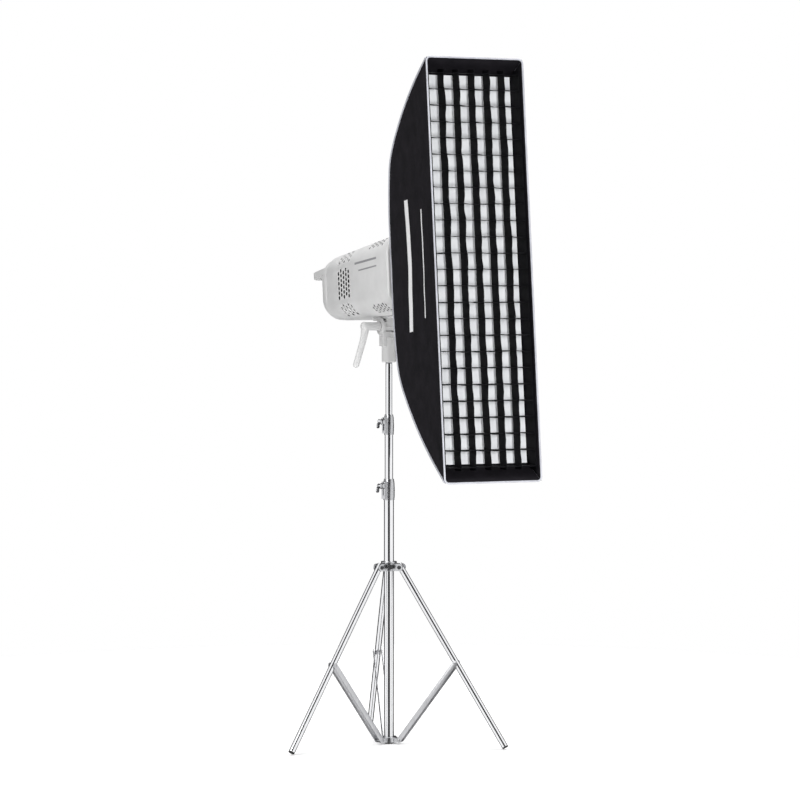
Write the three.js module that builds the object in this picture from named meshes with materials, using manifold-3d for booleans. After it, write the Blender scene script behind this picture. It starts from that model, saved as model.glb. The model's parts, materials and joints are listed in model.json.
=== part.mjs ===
// Strip softbox on an LED monolight head and a folding steel light stand.
// Millimetres, +Z up. The origin is on the floor under the column.
// The light points along -Y. The head group tilts about X at tiltPivotHeight.
import * as THREE from 'three';
import { mergeVertices } from 'three/addons/utils/BufferGeometryUtils.js';
import Module from 'manifold-3d';

const wasm = await Module();
wasm.setup();

// ---- driving dimensions -------------------------------------------------
const gap = 0.3;

const baseTube = { radius: 15, wall: 1.2, bottom: 4.3, top: 751.6 };
const midTube = { radius: 12.5, wall: 1.2, bottom: 193, top: 948.6 };
const topTube = { radius: 10, wall: 1.2, bottom: 420, top: 1148 };
const lowerClampSize = { bottom: 737, step: 752, top: 801 };
const upperClampSize = { bottom: 934, step: 949, top: 995 };
const clampAzimuth = 210;

const legAzimuths = [75, 195, 315];
const legPivot = { radius: 38, height: 535 };
const legAngle = THREE.MathUtils.degToRad(32.2);
const legTube = { radius: 9.5, wall: 1.2, topReach: 11 };
const footPlug = { radius: 9.5, sole: 4, length: 26 };
const bracePoint = 333;
const spiderPivot = { radius: 36.5, height: 12 };
const braceBar = { inner: 12, thickness: 2, width: 15 };
const pinRadius = 3;

const tiltPivotHeight = 1261;
const headTilt = THREE.MathUtils.degToRad(6);
const umbrellaBore = 5;
const receiverSize = { bottom: 1152.4, bore: 8.4, boreTop: 1206, radius: 21.5, bodyTop: 1228 };
const spigotRadius = 8;
const cheek = { inner: 15.4, thickness: 9.6, radius: 20 };
const leverHub = { start: 30.4, end: 88, radius: 14 };

// head, in its own tilting frame: z up from the pivot, light along -Y
const axisHeight = 144;
const bodyCentre = 136;
const bodyFront = { y: -250, width: 230, height: 233, corner: 64 };
const bodyRear = { y: 199, width: 224, height: 198, corner: 62 };
const bodyWall = 3;
const bezelFront = -262;
const mountRing = { outer: 82, inner: 69, front: -268 };

// softbox, with depths measured forward from the hub plane
const hubPlane = -278;
const boxDepth = 390;
const boxHalfHeight = 600;
const boxHalfWidth = 150;
const backHalfWidth = 102;
const frontDroop = 45;
const fabric = 1.2;
const hubHole = 74;
const diffuserDepth = 329;
const baffleDepth = 190;
const ribStartDepth = 32;
const gridSize = { columns: 6, rows: 12, strip: 1.6, back: 340, front: 382, edge: 12 };
const backProfile = [
  [5, 0], [13, 125], [34, 235], [53, 300], [87, 350], [155, 420], [222, 480], [300, 540], [390, 600],
];

// ---- materials ----------------------------------------------------------
const paint = (color, roughness, metalness = 0) =>
  new THREE.MeshStandardMaterial({ color, roughness, metalness });
const steel = paint(0xd2d3d5, 0.2, 1);
const castMetal = paint(0xb9babc, 0.35, 1);
const barMetal = paint(0xc6c6c8, 0.4, 1);
const whiteShell = paint(0xe6e6e7, 0.45);
const darkPlastic = paint(0x2a2a2c, 0.5);
const rubber = paint(0x1c1c1e, 0.8);
const blackMetal = paint(0x2d2d30, 0.35, 0.8);
const aluminium = paint(0xa9acb0, 0.4, 1);
const ledYellow = paint(0xe0c35a, 0.5);
const boardGreen = paint(0x24583a, 0.6);
const screenBlack = paint(0x101216, 0.1);
const redPaint = paint(0x9b2320, 0.5);
const blackCloth = paint(0x242427, 0.9);
const gridCloth = paint(0x17171b, 0.95);
const whiteCloth = paint(0xe3e5e8, 0.85);
const springRod = paint(0x8b8e92, 0.35, 0.9);

// ---- shape helpers ------------------------------------------------------
function toSolid(geometry) {
  const bare = geometry.clone();
  bare.deleteAttribute('normal');
  bare.deleteAttribute('uv');
  const merged = mergeVertices(bare, 1e-4);
  return new wasm.Manifold(new wasm.Mesh({
    numProp: 3,
    vertProperties: new Float32Array(merged.attributes.position.array),
    triVerts: new Uint32Array(merged.index.array),
  }));
}

function toGeometry(solid) {
  const mesh = solid.getMesh();
  const geometry = new THREE.BufferGeometry();
  geometry.setAttribute('position', new THREE.BufferAttribute(mesh.vertProperties, 3));
  geometry.setIndex(new THREE.BufferAttribute(mesh.triVerts, 1));
  geometry.computeVertexNormals();
  return geometry;
}

const join = (...shapes) => toGeometry(shapes.map(toSolid).reduce((sum, next) => sum.add(next)));
const cut = (shape, ...tools) =>
  toGeometry(tools.map(toSolid).reduce((rest, tool) => rest.subtract(tool), toSolid(shape)));

function box(x0, x1, y0, y1, z0, z1) {
  const geometry = new THREE.BoxGeometry(x1 - x0, y1 - y0, z1 - z0);
  return geometry.translate((x0 + x1) / 2, (y0 + y1) / 2, (z0 + z1) / 2);
}

// A cylinder from a to b along one axis: 'x', 'y' or 'z'.
function rod(axis, radius, a, b, u, v, segments = 12) {
  const geometry = new THREE.CylinderGeometry(radius, radius, b - a, segments);
  const middle = (a + b) / 2;
  if (axis === 'x') return geometry.rotateZ(-Math.PI / 2).translate(middle, u, v);
  if (axis === 'y') return geometry.translate(u, middle, v);
  return geometry.rotateX(Math.PI / 2).translate(u, v, middle);
}

// A solid of revolution about Z; profile points are [radius, height], anticlockwise.
function turned(profile, segments = 18) {
  const points = profile.map(([r, h]) => new THREE.Vector2(r, h));
  return new THREE.LatheGeometry(points, segments).rotateX(Math.PI / 2);
}

function pipe(outer, inner, bottom, top, segments = 18) {
  return turned([[inner, bottom], [outer, bottom], [outer, top], [inner, top], [inner, bottom]], segments);
}

// A ring or disc about the light's own axis, from y0 back to y1.
function axisRing(profile, segments = 28) {
  return turned(profile, segments).rotateX(Math.PI / 2).translate(0, 0, axisHeight);
}

// Joins rings of points (each a list of Vector3) into one closed body with fan caps.
function loft(rings) {
  const count = rings[0].length;
  const positions = [];
  const indices = [];
  for (const ring of rings) {
    for (const point of ring) positions.push(point.x, point.y, point.z);
  }
  for (let k = 0; k < rings.length - 1; k += 1) {
    for (let i = 0; i < count; i += 1) {
      const a = k * count + i;
      const b = k * count + ((i + 1) % count);
      indices.push(a, b, b + count, a, b + count, a + count);
    }
  }
  const last = (rings.length - 1) * count;
  for (let i = 1; i < count - 1; i += 1) {
    indices.push(0, i + 1, i, last, last + i, last + i + 1);
  }
  const geometry = new THREE.BufferGeometry();
  geometry.setAttribute('position', new THREE.Float32BufferAttribute(positions, 3));
  geometry.setIndex(volumeOf(positions, indices) > 0 ? indices : indices.reverse());
  geometry.computeVertexNormals();
  return geometry;
}

// Signed volume, negative where the faces point inwards.
function volumeOf(positions, indices) {
  const corner = (n) => new THREE.Vector3(...positions.slice(3 * indices[n], 3 * indices[n] + 3));
  let sum = 0;
  for (let i = 0; i < indices.length; i += 3) sum += corner(i).dot(corner(i + 1).cross(corner(i + 2)));
  return sum / 6;
}

// A rounded rectangle in the XZ plane at a given y, seen from -Y as clockwise.
function roundedRing(y, width, height, corner, centre = bodyCentre, steps = 6) {
  const ring = [];
  const corners = [[1, 1, 90], [1, -1, 0], [-1, -1, -90], [-1, 1, -180]];
  for (const [sx, sz, start] of corners) {
    for (let i = 0; i <= steps; i += 1) {
      const angle = THREE.MathUtils.degToRad(start - (90 * i) / steps);
      const x = sx * (width / 2 - corner) + corner * Math.cos(angle);
      const z = centre + sz * (height / 2 - corner) + corner * Math.sin(angle);
      ring.push(new THREE.Vector3(x, y, z));
    }
  }
  return ring;
}

function bodyRing(y, grow = 0) {
  const t = (y - bodyFront.y) / (bodyRear.y - bodyFront.y);
  const width = THREE.MathUtils.lerp(bodyFront.width, bodyRear.width, t) + 2 * grow;
  const height = THREE.MathUtils.lerp(bodyFront.height, bodyRear.height, t) + 2 * grow;
  const corner = THREE.MathUtils.lerp(bodyFront.corner, bodyRear.corner, t) + grow;
  return roundedRing(y, width, height, corner);
}

function bodyBottom(y) {
  const t = (y - bodyFront.y) / (bodyRear.y - bodyFront.y);
  return bodyCentre - THREE.MathUtils.lerp(bodyFront.height, bodyRear.height, t) / 2;
}

// ---- scene graph --------------------------------------------------------
const softboxLight = new THREE.Group();
const head = new THREE.Group();
head.position.z = tiltPivotHeight;
head.rotation.x = -headTilt;
softboxLight.add(head);

function add(parent, name, geometry, material) {
  const mesh = new THREE.Mesh(geometry, material);
  mesh.name = name;
  parent.add(mesh);
  return mesh;
}

function turnedGroup(parent, azimuth) {
  const group = new THREE.Group();
  group.rotation.z = THREE.MathUtils.degToRad(azimuth);
  parent.add(group);
  return group;
}

// ---- stand: column ------------------------------------------------------
function tubeOf({ radius, wall, bottom, top }) {
  return pipe(radius, radius - wall, bottom, top, 20);
}

function clampSleeve({ bottom, step, top }, outer, lowerBore, upperBore) {
  const middle = (bottom + top) / 2;
  const sleeve = turned([
    [lowerBore, bottom], [outer - 0.8, bottom], [outer, bottom + 12], [outer + 0.3, middle],
    [outer - 0.6, top - 10], [outer - 2.6, top], [upperBore, top], [upperBore, step], [lowerBore, step],
    [lowerBore, bottom],
  ], 20);
  const earBottom = bottom + 5;
  const earTop = top - 8;
  const ears = box(outer - 2.2, outer + 12, -6.5, 6.5, earBottom, earTop);
  const lug = rod('y', 9, -8, 8, outer + 9, top - 20, 20);
  const slot = box(upperBore - 6, outer + 30, -1.4, 1.4, step + 0.5, top + 1);
  const bore = rod('z', lowerBore, bottom - 1, step, 0, 0, 20);
  const throat = rod('z', upperBore, bottom - 1, top + 1, 0, 0, 20);
  const screwHole = rod('y', pinRadius + 0.4, -9, 9, outer + 11, top - 20, 16);
  return cut(join(sleeve, ears, lug), bore, throat, slot, screwHole);
}

// A screw along Y with two flat wings on its -Y end.
function wingScrew(shaftStart, hubStart, hubLength) {
  const shaft = rod('y', pinRadius, hubStart - 1, shaftStart, 0, 0, 16);
  const hub = rod('y', 6.5, hubStart - hubLength, hubStart, 0, 0, 16);
  const shape = new THREE.Shape();
  shape.moveTo(-4, 0);
  shape.lineTo(4, 0);
  shape.quadraticCurveTo(10, 3, 15, 10);
  shape.quadraticCurveTo(17, 16, 12, 17);
  shape.quadraticCurveTo(7, 16, 4, 9);
  shape.lineTo(-4, 9);
  shape.quadraticCurveTo(-7, 16, -12, 17);
  shape.quadraticCurveTo(-17, 16, -15, 10);
  shape.quadraticCurveTo(-10, 3, -4, 0);
  const wings = new THREE.ExtrudeGeometry(shape, { depth: 4, bevelEnabled: false, curveSegments: 5 });
  wings.translate(0, 0, -2).rotateZ(Math.PI).translate(0, hubStart - 9, 0);
  return join(shaft, hub, wings);
}

function addColumn() {
  add(softboxLight, 'base_column', tubeOf(baseTube), steel);
  add(softboxLight, 'mid_column', tubeOf(midTube), steel);
  add(softboxLight, 'top_column', tubeOf(topTube), steel);
  const plugRadius = baseTube.radius - baseTube.wall - gap;
  add(softboxLight, 'column_foot', turned([
    [0, 0], [14, 0], [15, 1], [15, 4], [plugRadius, 4], [plugRadius, 16], [0, 16],
  ]), darkPlastic);
  const neck = topTube.radius - topTube.wall - gap;
  add(softboxLight, 'stand_spigot', turned([
    [0, 1112], [neck, 1112], [neck, 1148.3], [topTube.radius, 1148.3], [topTube.radius, 1152],
    [spigotRadius, 1152], [spigotRadius, 1172], [6.8, 1174], [6.8, 1184], [spigotRadius, 1186],
    [spigotRadius, 1202], [6.5, 1204], [0, 1204],
  ]), castMetal);

  const clamps = [
    ['lower', lowerClampSize, 17.3, baseTube.radius + gap, midTube.radius + gap],
    ['upper', upperClampSize, 15, midTube.radius + gap, topTube.radius + gap],
  ];
  for (const [level, size, outer, lowerBore, upperBore] of clamps) {
    const group = turnedGroup(softboxLight, clampAzimuth);
    add(group, `${level}_clamp`, clampSleeve(size, outer, lowerBore, upperBore), castMetal);
    const screw = add(group, `${level}_wing_screw`, wingScrew(7.6, -8.4, 12), blackMetal);
    screw.position.set(outer + 11, 0, size.top - 20);
    screw.rotation.y = THREE.MathUtils.degToRad(25);
  }
}

// ---- stand: legs --------------------------------------------------------
const legReach = (legPivot.height - footPlug.radius * Math.sin(legAngle)) / Math.cos(legAngle);
const braceTop = {
  radius: legPivot.radius + bracePoint * Math.sin(legAngle),
  height: legPivot.height - bracePoint * Math.cos(legAngle),
};
const braceRun = braceTop.radius - spiderPivot.radius;
const braceRise = braceTop.height - spiderPivot.height;
const braceLength = Math.hypot(braceRun, braceRise);
const braceAngle = Math.atan2(braceRun, braceRise);

function addLegs() {
  const pinHole = rod('y', pinRadius + 0.4, -40, 40, 0, 0, 16);
  const legShape = cut(
    pipe(legTube.radius, legTube.radius - legTube.wall, -(legReach - footPlug.sole - gap), legTube.topReach, 16),
    pinHole,
  );
  // The foot is a rubber plug pushed up the tube, with only its sole showing.
  const stem = legTube.radius - legTube.wall - gap;
  const plugShape = turned([
    [0, -legReach], [footPlug.radius, -legReach], [footPlug.radius, footPlug.sole - legReach],
    [stem, footPlug.sole - legReach], [stem, footPlug.length - legReach], [0, footPlug.length - legReach],
  ], 16);
  const outline = new THREE.Shape();
  outline.absarc(0, 0, braceBar.width / 2, Math.PI, 2 * Math.PI);
  outline.absarc(0, braceLength, braceBar.width / 2, 0, Math.PI);
  outline.closePath();
  const blank = new THREE.ExtrudeGeometry(outline, {
    depth: braceBar.thickness, bevelEnabled: false, curveSegments: 8,
  });
  blank.rotateX(Math.PI / 2);

  legAzimuths.forEach((azimuth, index) => {
    const number = index + 1;
    const side = turnedGroup(softboxLight, azimuth);
    const leg = new THREE.Group();
    leg.position.set(legPivot.radius, 0, legPivot.height);
    leg.rotation.y = -legAngle;
    side.add(leg);
    add(leg, `leg_${number}`, legShape.clone(), steel);
    add(leg, `foot_${number}`, plugShape.clone(), rubber);
    const brace = new THREE.Group();
    brace.position.set(spiderPivot.radius, 0, spiderPivot.height);
    brace.rotation.y = braceAngle;
    side.add(brace);
    for (const [letter, sign] of [['a', 1], ['b', -1]]) {
      const bar = blank.clone();
      bar.translate(0, sign > 0 ? braceBar.inner + braceBar.thickness : -braceBar.inner, 0);
      const outer = braceBar.inner + braceBar.thickness;
      const rivets = [0, braceLength].map((height) => {
        const head = rod('y', 4.6, outer - 0.5, outer + 1.8, 0, height, 8);
        return sign > 0 ? head : head.rotateZ(Math.PI);
      });
      add(brace, `brace_${number}${letter}`, join(bar, ...rivets), barMetal);
    }
  });
}

// Cheeks or blocks at each leg's azimuth, joined onto a turned hub.
function withLugs(hub, makeLug, bore) {
  const lugs = legAzimuths.flatMap((azimuth) =>
    makeLug().map((lug) => lug.rotateZ(THREE.MathUtils.degToRad(azimuth))));
  return cut(join(hub, ...lugs), bore);
}

function addHubs() {
  const slide = rod('z', baseTube.radius + 0.5, -10, 600, 0, 0, 20);
  const collarHub = turned([
    [14, 523], [21, 523], [21, 546], [24, 547], [24, 552], [14, 552], [14, 523],
  ], 20);
  // Each pair of cheeks carries the pressed-in hinge pin of its leg.
  const cheeks = () => {
    const plates = [-14, 10].flatMap((start) => [
      box(17, legPivot.radius, start, start + 4, 524, 546),
      rod('y', 11, start, start + 4, legPivot.radius, legPivot.height, 12),
    ]);
    const pin = rod('y', pinRadius, -15, 15, legPivot.radius, legPivot.height, 8);
    const heads = [-17, 13.6].map((start) =>
      rod('y', 6, start, start + 3.4, legPivot.radius, legPivot.height, 8));
    return [join(...plates, pin, ...heads)];
  };
  const lockHole = rod('x', 3.3, 5, 40, 0, 537, 16).rotateZ(THREE.MathUtils.degToRad(255));
  add(softboxLight, 'leg_collar', cut(withLugs(collarHub, cheeks, slide), lockHole), castMetal);

  const lock = turnedGroup(softboxLight, 255);
  add(lock, 'collar_lock_screw', join(
    rod('x', 2.9, 16.2, 27, 0, 537, 16),
    rod('x', 7.5, 25, 34, 0, 537, 10),
  ), darkPlastic);

  const spiderHub = turned([[14, 4.4], [24, 4.4], [24, 21], [14, 21], [14, 4.4]], 20);
  const lug = () => {
    const half = braceBar.inner - 0.5;
    const block = box(18, spiderPivot.radius, -half, half, 5, 17.6);
    const nose = rod('y', 6, -half, half, spiderPivot.radius, spiderPivot.height, 16);
    return [join(block, nose)];
  };
  const seat = rod('z', baseTube.radius + gap, -10, 60, 0, 0, 20);
  add(softboxLight, 'lower_spider', withLugs(spiderHub, lug, seat), castMetal);
}

// ---- tilting bracket ----------------------------------------------------
function addReceiver() {
  const { bottom, bore, boreTop, radius, bodyTop } = receiverSize;
  const body = turned([
    [0, bottom], [radius - 1.5, bottom], [radius, bottom + 1.5], [radius, bodyTop], [0, bodyTop],
  ], 20);
  const outer = cheek.inner + cheek.thickness;
  const cheeks = [1, -1].flatMap((side) => {
    const near = side > 0 ? cheek.inner : -outer;
    const far = side > 0 ? outer : -cheek.inner;
    return [
      box(near, far, -16, 16, bodyTop - 30, tiltPivotHeight),
      rod('x', cheek.radius, near, far, 0, tiltPivotHeight, 20),
    ];
  });
  const disc = rod('x', 27, -30, -outer + 0.5, 0, tiltPivotHeight, 24);
  const floor = box(-outer, outer, -16, 16, bodyTop - 30, bodyTop + 6);
  const socket = rod('z', bore, bottom - 1, boreTop, 0, 0, 20);
  const boltHole = rod('x', 4.5, -40, 40, 0, tiltPivotHeight, 20);
  const knobHole = rod('x', 4.4, 5, 40, 0, 1179, 16);
  add(softboxLight, 'stand_receiver',
    cut(join(body, floor, ...cheeks, disc), socket, boltHole, knobHole), whiteShell);

  const knobTurn = join(
    rod('x', 4, 8.8, 30, 0, 1179, 16),
    rod('x', 9, 24, 34, 0, 1179, 20),
    box(30, 44, -3.2, 3.2, 1179 - 17, 1179 + 17),
  );
  add(softboxLight, 'receiver_knob', knobTurn, darkPlastic);

  add(softboxLight, 'tilt_bolt', join(
    rod('x', 4.1, -leverHub.start + 1, 31, 0, tiltPivotHeight, 20),
    rod('x', 9, 25.4, 31, 0, tiltPivotHeight, 6),
  ), castMetal);

  const hub = rod('x', leverHub.radius, -leverHub.end, -leverHub.start, 0, tiltPivotHeight, 20);
  const cap = box(-leverHub.end - 4, -leverHub.end + 1, -6, 6, tiltPivotHeight - 6, tiltPivotHeight + 6);
  const curve = new THREE.CatmullRomCurve3([
    new THREE.Vector3(-leverHub.end + 13, 0, tiltPivotHeight),
    new THREE.Vector3(-leverHub.end + 10, 6, tiltPivotHeight - 28),
    new THREE.Vector3(-leverHub.end + 2, 16, tiltPivotHeight - 70),
    new THREE.Vector3(-leverHub.end - 8, 27, tiltPivotHeight - 116),
  ]);
  const section = new THREE.Shape();
  section.absellipse(0, 0, 7.5, 9, 0, 2 * Math.PI);
  const arm = new THREE.ExtrudeGeometry(section, {
    extrudePath: curve, steps: 8, bevelEnabled: false, curveSegments: 5,
  });
  const tip = new THREE.SphereGeometry(8.4, 12, 8).translate(-leverHub.end - 8, 27, tiltPivotHeight - 116);
  add(softboxLight, 'tilt_lever', join(hub, cap, arm, tip), whiteShell);
}

function addTongue() {
  const width = 2 * (cheek.inner - 0.4);
  const tongue = join(
    rod('x', 17, -width / 2, width / 2, 0, 0, 32),
    box(-width / 2, width / 2, -17, 17, 0, 24),
  );
  const side = new THREE.Shape();
  side.moveTo(-70, 21.6);
  side.lineTo(60, 21.6);
  side.lineTo(60, bodyBottom(60) - gap);
  side.lineTo(-70, bodyBottom(-70) - gap);
  side.closePath();
  const plate = new THREE.ExtrudeGeometry(side, { depth: 48, bevelEnabled: false });
  plate.rotateX(Math.PI / 2).rotateZ(Math.PI / 2).translate(-24, 0, 0);
  const hole = rod('x', 4.5, -40, 40, 0, 0, 20);
  add(head, 'head_bracket', cut(join(tongue, plate), hole), whiteShell);

  const holderFront = -238;
  const holderBack = -214;
  const holderMiddle = (holderFront + holderBack) / 2;
  const holderTop = bodyBottom(holderFront) - gap;
  const holder = cut(
    box(-17, 17, holderFront, holderBack, holderTop - 20, holderTop),
    rod('y', umbrellaBore, holderFront - 10, holderBack + 10, 0, holderTop - 10, 16),
    rod('x', 3.3, 4, 30, holderMiddle, holderTop - 10, 14),
  );
  add(head, 'umbrella_holder', holder, darkPlastic);
  add(head, 'umbrella_screw', join(
    rod('x', 3, 5.4, 24, holderMiddle, holderTop - 10, 14),
    rod('x', 7, 21, 30, holderMiddle, holderTop - 10, 10),
  ), darkPlastic);
}

// ---- light head ---------------------------------------------------------
const coverRings = (grow) => [
  roundedRing(bodyRear.y + gap, 224 + grow, 198 + grow, 62),
  roundedRing(236, 219 + grow, 190 + grow, 62),
  roundedRing(260, 200 + grow, 168 + grow, 58),
  roundedRing(273, 172 + grow, 138 + grow, 50),
  roundedRing(277, 150 + grow, 116 + grow, 42),
];

function addShells() {
  const outer = loft([bodyRing(bodyFront.y), bodyRing(bodyRear.y)]);
  const inner = loft([bodyRing(bodyFront.y - 1, -bodyWall), bodyRing(bodyRear.y + 1, -bodyWall)]);
  add(head, 'main_housing', cut(outer, inner), whiteShell);

  const front = loft([
    roundedRing(bezelFront, 220, 223, 60),
    roundedRing(bezelFront + 5, 228, 231, 63),
    roundedRing(bodyFront.y - gap, bodyFront.width, bodyFront.height, bodyFront.corner),
  ]);
  const latchSlot = box(94, 106, bezelFront - 1, bodyFront.y + 1, axisHeight - 12, axisHeight + 12);
  const opening = rod('y', 66, bezelFront - 5, bodyFront.y + 5, 0, axisHeight, 28);
  add(head, 'front_bezel', cut(front, opening, latchSlot), whiteShell);

  const rings = coverRings(0);
  const hollow = coverRings(-6).slice(0, 4);
  hollow[0] = roundedRing(bodyRear.y - 1, 218, 192, 59);
  const controls = [
    box(-46, 30, 270, 280, 150, 184),
    rod('y', 12.4, 265, 280, 58, 152, 24),
    ...[-36, -10].map((x) => rod('y', 6.4, 265, 280, x, 126, 20)),
    box(-46, -18, 265, 280, 84, 104),
    box(18, 60, 255, 280, 80, 108),
  ];
  add(head, 'rear_cover', cut(loft(rings), loft(hollow), ...controls), whiteShell);

  const handleOuter = new THREE.Shape();
  handleOuter.moveTo(-96, 225);
  handleOuter.lineTo(-96, 330);
  handleOuter.quadraticCurveTo(-96, 358, -68, 358);
  handleOuter.lineTo(68, 358);
  handleOuter.quadraticCurveTo(96, 358, 96, 330);
  handleOuter.lineTo(96, 225);
  handleOuter.lineTo(84, 225);
  handleOuter.lineTo(84, 326);
  handleOuter.quadraticCurveTo(84, 344, 64, 344);
  handleOuter.lineTo(-64, 344);
  handleOuter.quadraticCurveTo(-84, 344, -84, 326);
  handleOuter.lineTo(-84, 225);
  handleOuter.closePath();
  const bar = new THREE.ExtrudeGeometry(handleOuter, { depth: 22, bevelEnabled: false, curveSegments: 8 });
  bar.rotateX(THREE.MathUtils.degToRad(-4)).translate(0, 0, 200);
  add(head, 'carry_handle', cut(bar, loft(coverRings(0.8)), outer), whiteShell);
}

function addMount() {
  const { outer, inner, front } = mountRing;
  add(head, 'mount_ring', axisRing([
    [inner, -bezelFront + gap], [outer, -bezelFront + gap], [outer, -front], [inner, -front],
    [inner, -bezelFront + gap],
  ]), blackMetal);
  add(head, 'mount_latch', join(
    box(94.4, 105.6, -258, -244, axisHeight - 11.6, axisHeight + 4),
    box(94.4, 105.6, -266, -257, axisHeight - 4, axisHeight + 3),
  ), darkPlastic);
}

function addInternals() {
  const fins = [];
  for (let x = -60; x <= 60; x += 10) fins.push(box(x - 1, x + 1, -150, -40, 84, 204));
  const plate = box(-61, 61, -160, -148, 84, 204);
  add(head, 'heat_sink', join(plate, ...fins), aluminium);

  add(head, 'led_module', join(
    box(-34, 34, -165, -160.3, axisHeight - 34, axisHeight + 34),
    rod('y', 20, -167, -164, 0, axisHeight, 28),
  ), ledYellow);

  add(head, 'reflector_cone', axisRing([
    [30, 170], [31.5, 170], [65, 247], [65, 254], [63.5, 254], [63.5, 248], [30, 170],
  ]), aluminium);

  const frame = cut(
    box(-60, 60, -25, 0, axisHeight - 60, axisHeight + 60),
    rod('y', 56, -26, 1, 0, axisHeight, 28),
  );
  const struts = [
    rod('y', 19, -3.5, -0.5, 0, axisHeight, 24),
    box(-57, 57, -3.5, -0.5, axisHeight - 3, axisHeight + 3),
    box(-3, 3, -3.5, -0.5, axisHeight - 57, axisHeight + 57),
  ];
  add(head, 'fan_frame', join(frame, ...struts), rubber);

  const blades = [];
  for (let i = 0; i < 7; i += 1) {
    const blade = box(-1, 1, -9, 8, 15, 53).rotateZ(THREE.MathUtils.degToRad(38));
    blades.push(blade.rotateY((2 * Math.PI * i) / 7).translate(0, -14, axisHeight));
  }
  add(head, 'fan_rotor', join(rod('y', 18, -24, -4.5, 0, axisHeight, 28), ...blades), darkPlastic);

  const board = box(-80, 80, 20, 180, 60, 62);
  const components = [
    box(-60, -20, 40, 80, 61, 96), box(0, 36, 40, 70, 61, 90), box(10, 60, 100, 106, 61, 98),
    rod('z', 11, 61, 98, -45, 110, 20), rod('z', 11, 61, 98, -18, 110, 20),
    box(-66, -40, 140, 165, 61, 80), box(50, 72, 50, 90, 61, 82),
  ];
  add(head, 'driver_board', join(board, ...components), boardGreen);
}

function addControls() {
  add(head, 'display_window', box(-45.6, 29.6, 271, 277.4, 150.4, 183.6), screenBlack);
  add(head, 'control_dial', join(
    rod('y', 12, 270, 286, 58, 152, 28),
    rod('y', 14, 277.6, 288, 58, 152, 14),
  ), darkPlastic);
  [-36, -10].forEach((x, index) => {
    add(head, `control_button_${index + 1}`, rod('y', 6, 269, 279.4, x, 126, 20), darkPlastic);
  });
  const rocker = box(-43.6, -20.4, 268, 278, 84.4, 103.6);
  const ridge = box(-43.6, -32, 277, 280.5, 84.4, 103.6);
  add(head, 'power_switch', join(rocker, ridge), redPaint);
  const inletBlock = box(18.4, 59.6, 256, 278.6, 80.4, 107.6);
  const recess = box(23, 55, 260, 279, 84, 104);
  const pins = [[32, 97], [39, 90], [46, 97]].map(([x, z]) => box(x - 1, x + 1, 259, 270, z - 2, z + 2));
  add(head, 'power_inlet', join(cut(inletBlock, recess), ...pins), rubber);
}

// ---- softbox ------------------------------------------------------------
const halfProfile = new THREE.SplineCurve(backProfile.map(([d, v]) => new THREE.Vector2(d, v)));
const profileSteps = 14;
const profile = [];
for (let i = profileSteps; i > 0; i -= 1) {
  const point = halfProfile.getPoint(i / profileSteps);
  profile.push(new THREE.Vector2(point.x, -point.y));
}
for (let i = 0; i <= profileSteps; i += 1) profile.push(halfProfile.getPoint(i / profileSteps));

function boxPoint(x, depth, v) {
  const droop = (frontDroop * depth) / boxDepth;
  return new THREE.Vector3(x, hubPlane - depth, axisHeight + v - droop);
}

function halfWidthAt(depth) {
  return backHalfWidth + (boxHalfWidth - backHalfWidth) * (Math.max(depth, 0) / boxDepth) ** 0.4;
}

// The profile moved inward, toward the inside of the softbox.
function insetProfile(distance) {
  return profile.map((point, i) => {
    const before = profile[Math.max(i - 1, 0)];
    const after = profile[Math.min(i + 1, profile.length - 1)];
    const along = after.clone().sub(before).normalize();
    const moved = new THREE.Vector2(point.x + along.y * distance, point.y - along.x * distance);
    moved.x = Math.min(moved.x, boxDepth);
    return moved;
  });
}

function addShellFabric() {
  const inner = insetProfile(fabric);
  const band = loft(profile.map((point, i) => {
    const w = halfWidthAt(point.x);
    return [
      boxPoint(-w, point.x, point.y), boxPoint(w, point.x, point.y),
      boxPoint(w, inner[i].x, inner[i].y), boxPoint(-w, inner[i].x, inner[i].y),
    ];
  }));
  const hole = rod('y', hubHole, hubPlane - 60, hubPlane + 20, 0, axisHeight, 28);
  add(head, 'wrap_panel', cut(band, hole), blackCloth);

  const edge = insetProfile(fabric + gap).filter((point) => Math.abs(point.y) < boxHalfHeight - 15);
  const tip = new THREE.Vector2(boxDepth - 4, boxHalfHeight - 9);
  edge.unshift(new THREE.Vector2(tip.x, -tip.y));
  edge.push(tip);
  for (const [name, side] of [['left', -1], ['right', 1]]) {
    const rings = edge.map((point) => {
      const back = halfWidthAt(point.x);
      return [
        boxPoint(side * back, point.x, point.y),
        boxPoint(side * boxHalfWidth, boxDepth, point.y),
        boxPoint(side * (boxHalfWidth - fabric), boxDepth, point.y),
        boxPoint(side * (back - fabric), point.x, point.y),
      ];
    });
    add(head, `${name}_side_panel`, loft(rings), blackCloth);
  }
}

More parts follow.
